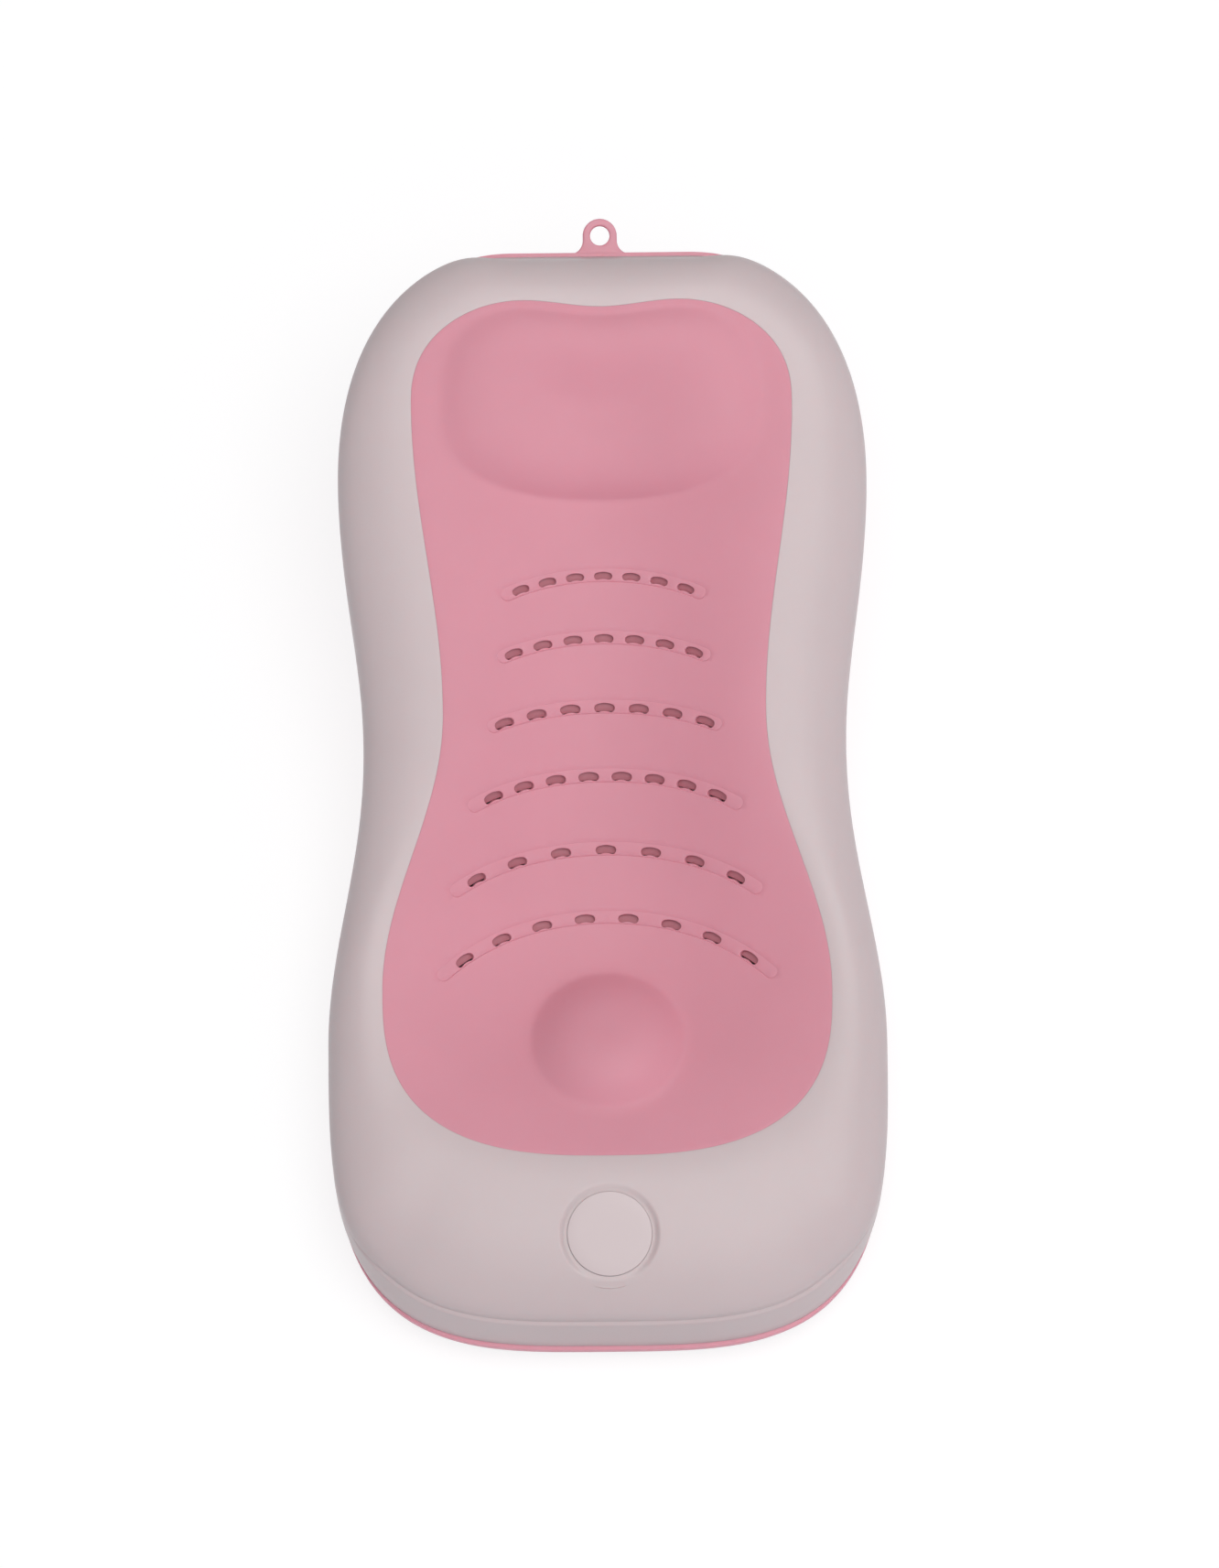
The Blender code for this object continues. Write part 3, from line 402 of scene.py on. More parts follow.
    def trough(self, x: np.ndarray, y: np.ndarray) -> np.ndarray:
        """Depth of the seat below the rim's crest; at the hips the basin reaches out into the white rim."""
        seat_y = self.along(self.seat_station)
        pad = self.pad
        basin = 1 + self.basin_reach * smooth((pad.waist_y - y) / (pad.waist_y - pad.hip_y))
        to_back = smooth((y - seat_y) / (self.back_station - self.seat_station))
        to_legs = smooth((seat_y - y) / (self.seat_station - self.leg_station))
        middle = (
            self.seat_depth
            + (self.back_depth - self.seat_depth) * to_back
            + (self.leg_depth - self.seat_depth) * to_legs
        )
        return middle * np.clip(1 - (pad.share(x, y) / basin) ** 2, 0, 1) ** 2

    def pad_height(self, x: np.ndarray, y: np.ndarray) -> np.ndarray:
        """Height of the seat's smooth surface inside the pad's edge."""
        return self.parting(y) + self.crest - self.trough(x, y)

    def seat_height(self, x: np.ndarray, y: np.ndarray) -> np.ndarray:
        """Height of the smooth top surface, the rim's roll included."""
        plan = np.stack([np.abs(x), y], axis=1)
        index = nearest(plan, self.rim_line)
        inset = np.linalg.norm(plan - self.rim_line[index], axis=1)
        normal = self.rim_normal[index]
        footward, headward = self.turn(normal, -1.0), self.turn(normal, 1.0)
        start = self.lean(normal) + self.ledge_width * footward
        roll = np.clip((inset - start) / (self.rim_band[index] - start), 0, 1)
        power = self.side_power + (self.end_power - self.side_power) * (footward + headward)
        rise = (1 - (1 - roll) ** power) ** (1 / power)
        ledge = self.skirt_height + self.ledge_rise
        return self.parting(y) + ledge + (self.crest - ledge) * rise - self.trough(x, y)

    def lifted(self, plan: Loop, rise: np.ndarray | float, on_rim: bool = False) -> np.ndarray:
        """Points of the top surface over plan points, moved along its normal.

        Args:
            plan: Plan points.
            rise: Distance along the normal, negative into the body.
            on_rim: True where points may lie on the white rim.

        Returns:
            Points, one row each.
        """
        height = self.seat_height if on_rim else self.pad_height
        x, y, step = plan[:, 0], plan[:, 1], self.slope_reach
        slope_x = (height(x + step, y) - height(x - step, y)) / (2 * step)
        slope_y = (height(x, y + step) - height(x, y - step)) / (2 * step)
        normal = unit(np.stack([-slope_x, -slope_y, np.ones_like(x)], axis=1))
        moved = np.column_stack([plan, height(x, y)]) + normal * np.reshape(rise, (-1, 1))
        moved[np.abs(x) < SAME_PLACE, 0] = 0.0
        return moved

    def at_height(self, plan: Loop, rise: np.ndarray | float) -> np.ndarray:
        """Points over the parting line, raised by rise."""
        return np.column_stack([plan, self.parting(plan[:, 1]) + np.ravel(rise)])

    def rim_place(self, share: float, inset: float) -> np.ndarray:
        """Plan place at a share of the rim's half line from head to foot, inset from the rim."""
        index = round(share * (DENSE - 1))
        return self.rim_line[index] - inset * self.rim_normal[index]

    def pad_place(self, share: float, outset: float) -> np.ndarray:
        """Plan place at a share of the pad's half line from head to foot, outside its edge."""
        index = round(share * (DENSE - 1))
        return self.pad_line[index] + outset * outward(self.pad_line)[index]


@dataclass(frozen=True)
class Fixing:
    """Places and sizes of the screws and of what they hold, and of the feet."""

    form: BodyForm
    post_radius: float = 0.0045
    post_inset: float = 0.015
    base_shares: tuple[float, ...] = (0.22, 0.40, 0.60, 0.925)
    lug_radius: float = 0.0075
    lug_thickness: float = 0.003
    lug_root: float = 0.0048
    boss_radius: float = 0.004
    boss_outset: float = 0.0085
    deck_shares: tuple[float, ...] = (0.10, 0.30, 0.52, 0.95)
    ear_radius: float = 0.0075
    ear_drop: float = 0.0125
    post_sides: int = 48
    post_edge: float = 0.0003
    post_top_shares: tuple[float, ...] = (1.0, 0.75, 0.5, 0.25)
    clearance: float = 0.0003
    bore_sides: int = 24
    shank_radius: float = 0.0015
    shank_length: float = 0.011
    head_radius: float = 0.0036
    deck_head_radius: float = 0.0062
    head_height: float = 0.0022
    foot_radius: float = 0.0105
    foot_sides: int = 72
    foot_seat: float = 0.0022
    foot_lift: float = 0.003
    plinth_wall: float = 0.003
    plinth_height: float = 0.009
    plinth_proud: float = 0.0003
    foot_places: tuple[tuple[float, float], ...] = ((0.08027, 0.23324), (0.11382, -0.22749))

    @staticmethod
    def both_sides(places: Sequence[Sequence[float]]) -> list[tuple[float, float]]:
        """Each place and its mirror image."""
        return [(side * float(x), float(y)) for x, y in places for side in (1, -1)]

    def inset(self, share: float) -> float:
        """Inset of a post from the rim, behind the lean of the wall there."""
        index = round(share * (DENSE - 1))
        return self.post_inset + float(self.form.lean(self.form.rim_normal[index : index + 1])[0])

    @cached_property
    def base_places(self) -> list[tuple[float, float]]:
        """Middles of the posts that the base is screwed to."""
        places = [self.form.rim_place(share, self.inset(share)) for share in self.base_shares]
        return self.both_sides(places)

    @cached_property
    def deck_places(self) -> list[tuple[float, float]]:
        """Middles of the bosses that the deck is screwed to."""
        places = [self.form.pad_place(share, self.boss_outset) for share in self.deck_shares]
        return self.both_sides(places)

    def lug_top(self, y: float) -> float:
        """Height of a lug's top face."""
        return float(self.form.parting(y)) - self.form.joint_gap - self.lug_thickness / 2

    def boss_seat(self, x: float, y: float) -> float:
        """Height of the flat underside of a deck ear."""
        return float(self.form.seat_height(np.array([x]), np.array([y]))[0]) - self.ear_drop

    def post(self, place: tuple[float, float], radius: float, low: float, depth: float) -> list[np.ndarray]:
        """Rings of an upright post whose top follows the top surface.

        Args:
            place: Middle of the post in plan.
            radius: Its radius.
            low: Height of its foot.
            depth: How far its top lies below the top surface.

        Returns:
            Rings from its foot to its top.
        """
        sides, edge = self.post_sides, self.post_edge
        rings = [circle(place, radius - edge, sides, low), circle(place, radius, sides, low + edge)]
        for share in self.post_top_shares:
            top = circle(place, radius * share, sides, 0.0)
            top[:, 2] = self.form.seat_height(top[:, 0], top[:, 1]) - depth
            rings.append(top)
        return rings


@dataclass
class Shape:
    """Vertices and faces of one piece while it is made."""

    points: list[np.ndarray] = field(default_factory=list)
    faces: list[tuple[int, ...]] = field(default_factory=list)
    count: int = 0

    def add(self, points: np.ndarray) -> np.ndarray:
        """Adds points and gives their numbers."""
        numbers = np.arange(self.count, self.count + len(points))
        self.points.append(np.asarray(points, float))
        self.count += len(points)
        return numbers

    def bridge(self, near: np.ndarray, far: np.ndarray) -> None:
        """Joins two closed loops of equal length."""
        quads = np.stack([near, np.roll(near, -1), np.roll(far, -1), far], axis=1)
        self.faces.extend(map(tuple, quads.tolist()))

    def tube(self, rings: Sequence[np.ndarray], closed: bool = False) -> list[np.ndarray]:
        """Joins closed rings one after another.

        Args:
            rings: Rings of points, equal in length.
            closed: True where the last ring joins the first.

        Returns:
            The numbers of each ring's points.
        """
        numbers = [self.add(ring) for ring in rings]
        for near, far in zip(numbers, numbers[1:] + numbers[:1] * closed):
            self.bridge(near, far)
        return numbers

    def solid(self, rings: Sequence[np.ndarray]) -> None:
        """Joins closed rings and caps the first and the last."""
        numbers = self.tube(rings)
        self.faces.append(tuple(numbers[0].tolist()))
        self.faces.append(tuple(numbers[-1][::-1].tolist()))

    def build(self, name: str, sharp: float = SHARP) -> bpy.types.Object:
        """Object of the shape, with outward faces, shaded smooth up to sharp edges.

        Args:
            name: Name of the piece.
            sharp: Angle from which an edge stays sharp.

        Returns:
            The new object, linked to the scene.
        """
        mesh = bpy.data.meshes.new(name)
        mesh.from_pydata(np.concatenate(self.points).tolist(), [], self.faces)
        work = bmesh.new()
        work.from_mesh(mesh)
        bmesh.ops.recalc_face_normals(work, faces=work.faces)
        work.to_mesh(mesh)
        work.free()
        return link(name, mesh, sharp)


def put(name: str, data: bpy.types.ID) -> bpy.types.Object:
    """Object of a mesh, lamp or camera, linked to the scene."""
    made = bpy.data.objects.new(name, data)
    bpy.context.scene.collection.objects.link(made)
    return made


def link(name: str, mesh: bpy.types.Mesh, sharp: float) -> bpy.types.Object:
    """Object of a mesh in the scene, shaded smooth up to sharp edges."""
    mesh.shade_smooth()
    mesh.set_sharp_from_angle(angle=sharp)
    return put(name, mesh)


def carve(piece: bpy.types.Object, helper: bpy.types.Object, cut: Cut, sharp: float = SHARP) -> None:
    """Joins a helper to a piece or cuts it away, and removes the helper.

    Args:
        piece: The piece, which takes the new mesh.
        helper: A closed solid.
        cut: What the helper does.
        sharp: Angle from which an edge stays sharp.
    """
    change = piece.modifiers.new(helper.name, "BOOLEAN")
    change.object = helper
    change.operation = cut.value
    change.solver = "MANIFOLD"
    graph = bpy.context.evaluated_depsgraph_get()
    made = bpy.data.meshes.new_from_object(piece.evaluated_get(graph))
    piece.modifiers.remove(change)
    old, piece.data = piece.data, made
    made.name = piece.name
    made.shade_smooth()
    made.set_sharp_from_angle(angle=sharp)
    bpy.data.meshes.remove(old)
    bpy.data.objects.remove(helper, do_unlink=True)


def circle(place: Sequence[float], radius: float, sides: int, height: float) -> np.ndarray:
    """Ring of points round an upright axis."""
    angles = np.arange(sides) * 2 * math.pi / sides
    x, y = place[0] + radius * np.cos(angles), place[1] + radius * np.sin(angles)
    return np.column_stack([x, y, np.full(sides, height)])


def turned(profile: Sequence[tuple[float, float]], sides: int) -> list[np.ndarray]:
    """Rings of a turned solid from the radius and height of each ring."""
    return [circle((0.0, 0.0), radius, sides, height) for radius, height in profile]


def prism(outline: Loop, low: float, high: float, edge: float) -> list[np.ndarray]:
    """Rings of an upright prism with softened edges.

    Args:
        outline: Closed plan outline.
        low: Height of its underside.
        high: Height of its top.
        edge: Reach of the softened edges.

    Returns:
        Rings from its underside to its top.
    """
    along = np.roll(outline, -1, axis=0) - np.roll(outline, 1, axis=0)
    out = unit(np.stack([along[:, 1], -along[:, 0]], axis=1))
    x, y = outline.T
    out *= np.sign(np.sum(x * np.roll(y, -1) - np.roll(x, -1) * y))
    levels = ((edge, low), (edge / 4, low + edge / 4), (0.0, low + edge))
    levels += ((0.0, high - edge), (edge / 4, high - edge / 4), (edge, high))
    return [np.column_stack([outline - out * inset, np.full(len(outline), z)]) for inset, z in levels]


def round_section(
    rings: Sequence[np.ndarray],
    radii: Sequence[np.ndarray | float],
    steps: int = 5,
) -> list[np.ndarray]:
    """Rounds the corners of a closed section that runs round a body.

    Args:
        rings: One ring of points for each corner of the section.
        radii: How far each corner's rounding reaches along its two sides; 0 keeps the corner.
        steps: Points of one rounding.

    Returns:
        The rings, each rounded corner replaced by its steps.
    """
    made = []
    for number, (ring, radius) in enumerate(zip(rings, radii)):
        if np.ndim(radius) == 0 and radius == 0:
            made.append(ring)
            continue
        before, after = rings[number - 1], rings[(number + 1) % len(rings)]
        start = ring + unit(before - ring) * radius
        end = ring + unit(after - ring) * radius
        for t in np.linspace(0, 1, steps):
            made.append((1 - t) ** 2 * start + 2 * t * (1 - t) * ring + t**2 * end)
    return made


def arc_capsule(bend: float, reach: float, half: float, spacing: float, round_steps: int) -> Loop:
    """Closed loop round an arc that bows towards +Y, with round ends.

    Args:
        bend: Radius of the arc.
        reach: Half angle of the arc.
        half: Half width of the capsule.
        spacing: Spacing of the points along the arc.
        round_steps: Steps of each round end.

    Returns:
        Plan points about the middle of the arc; the count doesn't depend on half.
    """
    steps = max(3, round(2 * reach * bend / spacing))
    sweep = np.linspace(-reach, reach, steps + 1)
    turn = np.linspace(0, math.pi, round_steps + 1)[1:-1]
    outer = np.stack([(bend + half) * np.sin(sweep), (bend + half) * np.cos(sweep)], axis=1)
    inner = np.stack([(bend - half) * np.sin(sweep), (bend - half) * np.cos(sweep)], axis=1)[::-1]
    ends = []
    for side in (1, -1):
        middle = bend * np.array([math.sin(side * reach), math.cos(side * reach)])
        bow = side * (math.pi / 2 - reach) - turn
        ends.append(middle + half * np.stack([np.cos(bow), np.sin(bow)], axis=1))
    return np.concatenate([outer, ends[0], inner, ends[1]]) - (0.0, bend)


def capsule_gap(plan: Loop, bend: float, reach: float, half: float) -> np.ndarray:
    """Signed distance of plan points from the outline of an arc capsule, negative inside."""
    x, y = plan[:, 0], plan[:, 1] + bend
    angle = np.arctan2(x, y)
    on_arc = np.abs(np.hypot(x, y) - bend)
    tip_x, tip_y = bend * math.sin(reach), bend * math.cos(reach)
    past = np.hypot(np.abs(x) - tip_x, y - tip_y)
    return np.where(np.abs(angle) <= reach, on_arc, past) - half


def turned_by(plan: Loop, tilt: float, place: tuple[float, float]) -> Loop:
    """Plan points turned by tilt about the origin, then moved to a place."""
    c, s = math.cos(tilt), math.sin(tilt)
    return plan @ np.array([[c, s], [-s, c]]) + place


def triangulated(
    points: Sequence[Sequence[float]],
    edges: list[tuple[int, int]],
) -> tuple[Loop, np.ndarray, list[list[int]]]:
    """Triangles over plan points that keep the given edges.

    Args:
        points: Plan points.
        edges: Pairs of point numbers.

    Returns:
        Plan points, triangles, and for each plan point the numbers of the points it comes from.
    """
    made = delaunay_2d_cdt([Vector(point) for point in points], edges, [], 0, SAME_PLACE, True)
    return np.array([tuple(point) for point in made[0]]), np.array(made[2]), made[3]


@dataclass
class PlanFill:
    """Triangles that fill a plan region with holes, finer along its creases."""

    boundary: Loop
    holes: list[Loop]
    creases: list[Loop]
    spacing: float
    clear_share: float = 0.55

    def grid(self) -> Loop:
        """Even points inside the region, clear of every loop."""
        low, high = self.boundary.min(axis=0), self.boundary.max(axis=0)
        columns = np.arange(0, high[0], self.spacing)
        columns = np.concatenate([-columns[:0:-1], columns])
        rows = np.arange(low[1], high[1], self.spacing * math.sqrt(3) / 2)
        points = np.array(
            [(x + (n % 2) * self.spacing / 2, y) for n, y in enumerate(rows) for x in columns]
        )
        points = points[inside(points, self.boundary)]
        loops = np.concatenate([self.boundary, *self.holes, *self.creases])
        near = loops[nearest(points, loops)]
        points = points[np.linalg.norm(points - near, axis=1) > self.clear_share * self.spacing]
        return points[~self.in_holes(points)]

    def in_holes(self, points: Loop) -> np.ndarray:
        """True for points inside a hole."""
        found = np.zeros(len(points), bool)
        for hole in self.holes:
            middle = hole.mean(axis=0)
            reach = np.linalg.norm(hole - middle, axis=1).max()
            close = np.nonzero(np.linalg.norm(points - middle, axis=1) < reach)[0]
            if len(close):
                found[close] |= inside(points[close], hole)
        return found

    def triangles(self) -> tuple[Loop, np.ndarray, list[np.ndarray]]:
        """Fills the region.

        Returns:
            Plan points, triangles, and the point numbers of the boundary and of each hole in turn.
        """
        loops = [self.boundary, *self.holes, *self.creases]
        points, edges, starts = [], [], []
        for loop in loops:
            starts.append(len(points))
            numbers = np.arange(len(loop)) + len(points)
            edges.extend(zip(numbers.tolist(), np.roll(numbers, -1).tolist()))
            points.extend(map(tuple, loop.tolist()))
        points.extend(map(tuple, self.grid().tolist()))
        plan, faces, sources = triangulated(points, edges)
        middles = plan[faces].mean(axis=1)
        faces = faces[inside(middles, self.boundary) & ~self.in_holes(middles)]
        where = np.full(len(points), -1)
        for number, origins in enumerate(sources):
            where[origins] = number
        rings = [where[s : s + len(loop)] for s, loop in zip(starts, loops[: 1 + len(self.holes)])]
        return plan, faces, rings


@dataclass(frozen=True)
class Finish:
    """One procedural finish: colour, gloss, fine grain and slow colour change."""

    slot: Slot
    colour: tuple[float, float, float]
    roughness: float
    metallic: float = 0.0
    mottle: float = 0.03
    mottle_scale: float = 22.0
    mottle_detail: float = 4.0
    mottle_reach: float = 0.25
    gloss_change: float = 0.05
    gloss_reach: float = 0.2
    grain_scale: float = 1500.0
    grain_detail: float = 2.0
    grain_height: float = 0.00002
    grain_strength: float = 0.25
    subsurface: float = 0.0
    scatter: tuple[float, float, float] = (1.0, 1.0, 1.0)
    scatter_reach: float = 0.001

    @property
    def name(self) -> str:
        """Name of the finish's material, apart from the solids' plain one."""
        return f"{self.slot.value}_finish"

    def material(self) -> bpy.types.Material:
        """Principled material with noise for the colour, the gloss and the grain.

        Returns:
            The new material.
        """
        made = bpy.data.materials.new(self.name)
        made.use_nodes = True
        nodes, links = made.node_tree.nodes, made.node_tree.links
        shader = nodes["Principled BSDF"]
        shader.inputs["Metallic"].default_value = self.metallic
        shader.inputs["Subsurface Weight"].default_value = self.subsurface
        shader.inputs["Subsurface Radius"].default_value = self.scatter
        shader.inputs["Subsurface Scale"].default_value = self.scatter_reach
        place = nodes.new("ShaderNodeTexCoord")
        slow = self.noise(nodes, links, place, self.mottle_scale, self.mottle_detail)
        ramp = nodes.new("ShaderNodeValToRGB")
        for stop, side in zip(ramp.color_ramp.elements, (-1, 1)):
            stop.position = 0.5 + self.mottle_reach * side
            stop.color = (*[min(1.0, c * (1 + side * self.mottle)) for c in self.colour], 1.0)
        links.new(slow.outputs["Fac"], ramp.inputs["Fac"])
        links.new(ramp.outputs["Color"], shader.inputs["Base Color"])
        fine = self.noise(nodes, links, place, self.grain_scale, self.grain_detail)
        gloss = nodes.new("ShaderNodeMapRange")
        gloss.inputs["From Min"].default_value = 0.5 - self.gloss_reach
        gloss.inputs["From Max"].default_value = 0.5 + self.gloss_reach
        gloss.inputs["To Min"].default_value = self.roughness - self.gloss_change
        gloss.inputs["To Max"].default_value = self.roughness + self.gloss_change
        links.new(fine.outputs["Fac"], gloss.inputs["Value"])
        links.new(gloss.outputs["Result"], shader.inputs["Roughness"])
        bump = nodes.new("ShaderNodeBump")
        bump.inputs["Strength"].default_value = self.grain_strength
        bump.inputs["Distance"].default_value = self.grain_height
        links.new(fine.outputs["Fac"], bump.inputs["Height"])
        links.new(bump.outputs["Normal"], shader.inputs["Normal"])
        return made

    @staticmethod
    def noise(
        nodes: bpy.types.Nodes,
        links: bpy.types.NodeLinks,
        place: bpy.types.Node,
        scale: float,
        detail: float,
    ) -> bpy.types.Node:
        """Noise texture in the object's own metres.

        Args:
            nodes: Nodes of the material.
            links: Links of the material.
            place: Texture coordinates.
            scale: Features per metre.
            detail: Octaves.

        Returns:
            The noise node.
        """
        made = nodes.new("ShaderNodeTexNoise")
        made.inputs["Scale"].default_value = scale
        made.inputs["Detail"].default_value = detail
        links.new(place.outputs["Object"], made.inputs["Vector"])
        return made


PLASTIC_SCATTER = {"subsurface": 0.5, "scatter": (1.0, 0.5, 0.5), "scatter_reach": 0.0012}
WHITE = Finish(Slot.WHITE, (0.60, 0.50, 0.502), 0.42, mottle=0.012, **PLASTIC_SCATTER)
BADGE = Finish(Slot.BADGE, (0.595, 0.495, 0.497), 0.38, mottle=0.012)
PAD = Finish(Slot.PAD, (0.685, 0.29, 0.355), 0.60, mottle=0.02, grain_scale=2200.0, **PLASTIC_SCATTER)
DECK = Finish(Slot.DECK, (0.46, 0.165, 0.205), 0.50, **PLASTIC_SCATTER)
BASE = Finish(Slot.BASE, (0.72, 0.315, 0.385), 0.45, mottle=0.02, **PLASTIC_SCATTER)
STEEL = Finish(Slot.STEEL, (0.55, 0.55, 0.56), 0.35, metallic=1.0, grain_scale=4000.0)
RUBBER = Finish(Slot.RUBBER, (0.42, 0.40, 0.40), 0.80, grain_scale=3000.0, grain_height=0.00005)


def dress(piece: bpy.types.Object, finish: Finish, *nodes: str) -> None:
    """Gives a piece its finish and its body, and hides the CAD nodes it stands for.

    Args:
        piece: The finished piece.
        finish: Its finish.
        nodes: CAD nodes that the piece replaces.
    """
    made = bpy.data.materials.get(finish.name) or finish.material()
    piece.data.materials.clear()
    piece.data.materials.append(made)
    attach(piece, BODY)
    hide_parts(*nodes)
    LOG.info("%s: %d faces for %s", piece.name, len(piece.data.polygons), ", ".join(nodes))


@dataclass(frozen=True)
class BadgePlace:
    """Place and sizes of the disc on the leg slope."""

    form: BodyForm
    station: float = 0.049
    radius: float = 0.0215
    thickness: float = 0.0016
    dish_radius: float = 0.0244
    dish_depth: float = 0.0019
    dish_edge: float = 0.0026
    fit: float = 0.0003
    seat_gap: float = 0.00012
    sides: int = 128

    @cached_property
    def matrix(self) -> Matrix:
        """Middle of the disc on the slope, +Z along the slope's normal."""
        y = self.form.along(self.station)
        on, above = (self.form.lifted(np.array([[0.0, y]]), rise, on_rim=True)[0] for rise in (0.0, 1.0))
        tilt = math.atan2(above[1] - on[1], above[2] - on[2])
        return Matrix.Translation(on) @ Matrix.Rotation(-tilt, 4, "X")


@dataclass
class RimShell:
    """White rim casing: skirt, ledge at the foot, roll up to the pad, lip, posts and the badge's dish."""

    form: BodyForm
    fixing: Fixing
    badge: BadgePlace
    skirt_rises: tuple[float, ...] = (0.0025, 0.005, 0.0075, 0.0095, 0.013, 0.017, 0.0205)
    inner_rise: float = 0.019
    roll_rings: int = 96
    inner_rings: int = 12
    inner_start: int = 16
    edge_round: float = 0.0003
    lip_round: float = 0.0001
    ledge_round: float = 0.0009
    crease_round: float = 0.0004
    backing_depth: float = 0.0023
    backing_height: float = 0.0071

    def roll(self, rays: Rays, angle: float) -> np.ndarray:
        """Ring of the roll, at an angle from its upright start to its crest at the pad's edge.

        Args:
            rays: Lines across the rim.
            angle: 0 at the start, a quarter turn at the crest.

        Returns:
            Points of one half.
        """
        form = self.form
        start = rays.lean + form.ledge_width * rays.footward
        power = form.side_power + (form.end_power - form.side_power) * (rays.footward + rays.headward)
        share = 1 - max(math.cos(angle), 0.0) ** (2 / power)
        rise = math.sin(angle) ** (2 / power)
        plan = rays.rim + rays.inward * (start + (rays.reach - start) * share)
        ledge = form.skirt_height + form.ledge_rise
        top = form.at_height(plan, ledge + (form.crest - ledge) * rise)
        top[:, 2] -= form.trough(plan[:, 0], plan[:, 1])
        return top

    def skirt(self, rays: Rays, rise: float, wall: float = 0.0) -> np.ndarray:
        """Ring of the skirt at a rise over the parting line, a wall further in.

        Args:
            rays: Lines across the rim.
            rise: Height over the parting line.
            wall: Distance inside the outer face.

        Returns:
            Points of one half.
        """
        form = self.form
        tuck = form.skirt_tuck * (1 - rays.end_share) * max(1 - rise / form.skirt_bulge, 0.0) ** 2
        inset = tuck + rays.lean * rise / form.skirt_height + wall
        return form.at_height(rays.rim + rays.inward * inset, rise)

    def section(self) -> list[np.ndarray]:
        """Closed section of the rim: skirt, ledge, roll and lip outside, then back inside.

        Returns:
            Rings of points round the whole rim.
        """
        form, rays = self.form, self.form.rays
        edge = whole(np.column_stack([rays.footward, rays.footward]))[:, :1]
        rings, radii = [self.skirt(rays, 0.0)], [self.edge_round]
        for rise in self.skirt_rises:
            rings.append(self.skirt(rays, rise))
            radii.append(0.0)
        start = rays.lean + form.ledge_width * rays.footward
        rings.append(self.skirt(rays, form.skirt_height))
        radii.append(self.crease_round + (self.ledge_round - self.crease_round) * np.abs(edge))
        rings.append(form.at_height(rays.rim + rays.inward * start, form.skirt_height + form.ledge_rise))
        radii.append(self.crease_round)
        angles = np.linspace(0, math.pi / 2, self.roll_rings + 1)[1:]
        rings += [self.roll(rays, angle) for angle in angles]
        radii += [0.0] * (len(angles) - 1) + [self.lip_round]
        rings = [whole(ring) for ring in rings]
        outer = np.stack(rings[-len(angles) :])
        round_rim = np.roll(outer, -1, axis=1) - np.roll(outer, 1, axis=1)
        normal = unit(np.cross(round_rim, np.gradient(outer, axis=0)))
        normal *= np.sign(normal[-1, :1, 2:])
        rings[-len(angles) :] = self.dished(outer)
        picks = np.linspace(len(angles) - 1, self.inner_start, self.inner_rings).astype(int)
        rings += [outer[pick] - normal[pick] * form.shell_wall for pick in picks]
        radii += [self.lip_round] + [0.0] * (len(picks) - 1)
        for rise in (self.inner_rise, form.skirt_bulge, 0.0):
            rings.append(whole(self.skirt(rays, rise, form.shell_wall)))
            radii.append(0.0 if rise else self.crease_round)
        return round_section(rings, radii)

    def dished(self, rings: np.ndarray) -> np.ndarray:
        """Rings of the roll with the badge's soft-edged dish sunk into them."""
        badge, place = self.badge, np.array(self.badge.matrix)
        local = (rings - place[:3, 3]) @ place[:3, :3]
        radius = np.hypot(local[..., 0], local[..., 1])
        share = smooth((badge.dish_radius + badge.dish_edge / 2 - radius) / badge.dish_edge)
        local[..., 2] += (-badge.dish_depth - local[..., 2]) * share
        return local @ place[:3, :3].T + place[:3, 3]

    def make(self) -> bpy.types.Object:
        """Builds and dresses the rim.

        Returns:
            The piece.
        """
        shape = Shape()
        shape.tube(self.section(), closed=True)
        piece = shape.build("white_rim")
        carve(piece, self.posts(), Cut.JOIN)
        carve(piece, self.bores(), Cut.REMOVE)
        dress(piece, WHITE, "upper_shell")
        return piece

    def posts(self) -> bpy.types.Object:
        """Posts for the base's screws, bosses for the deck's and the backing of the badge.

        Returns:
            All of them as one helper.
        """
        fixing, wall, gap = self.fixing, self.form.shell_wall, self.form.joint_gap
        shape = Shape()
        for place in fixing.base_places:
            shape.solid(fixing.post(place, fixing.post_radius, fixing.lug_top(place[1]) + gap, wall / 2))
        for place in fixing.deck_places:
            shape.solid(fixing.post(place, fixing.boss_radius, fixing.boss_seat(*place) + gap, wall / 2))
        middle = self.badge.matrix.translation
        low = middle.z - self.backing_height
        shape.solid(fixing.post(middle[:2], self.badge.dish_radius + wall, low, self.backing_depth))
        return shape.build("rim_posts")

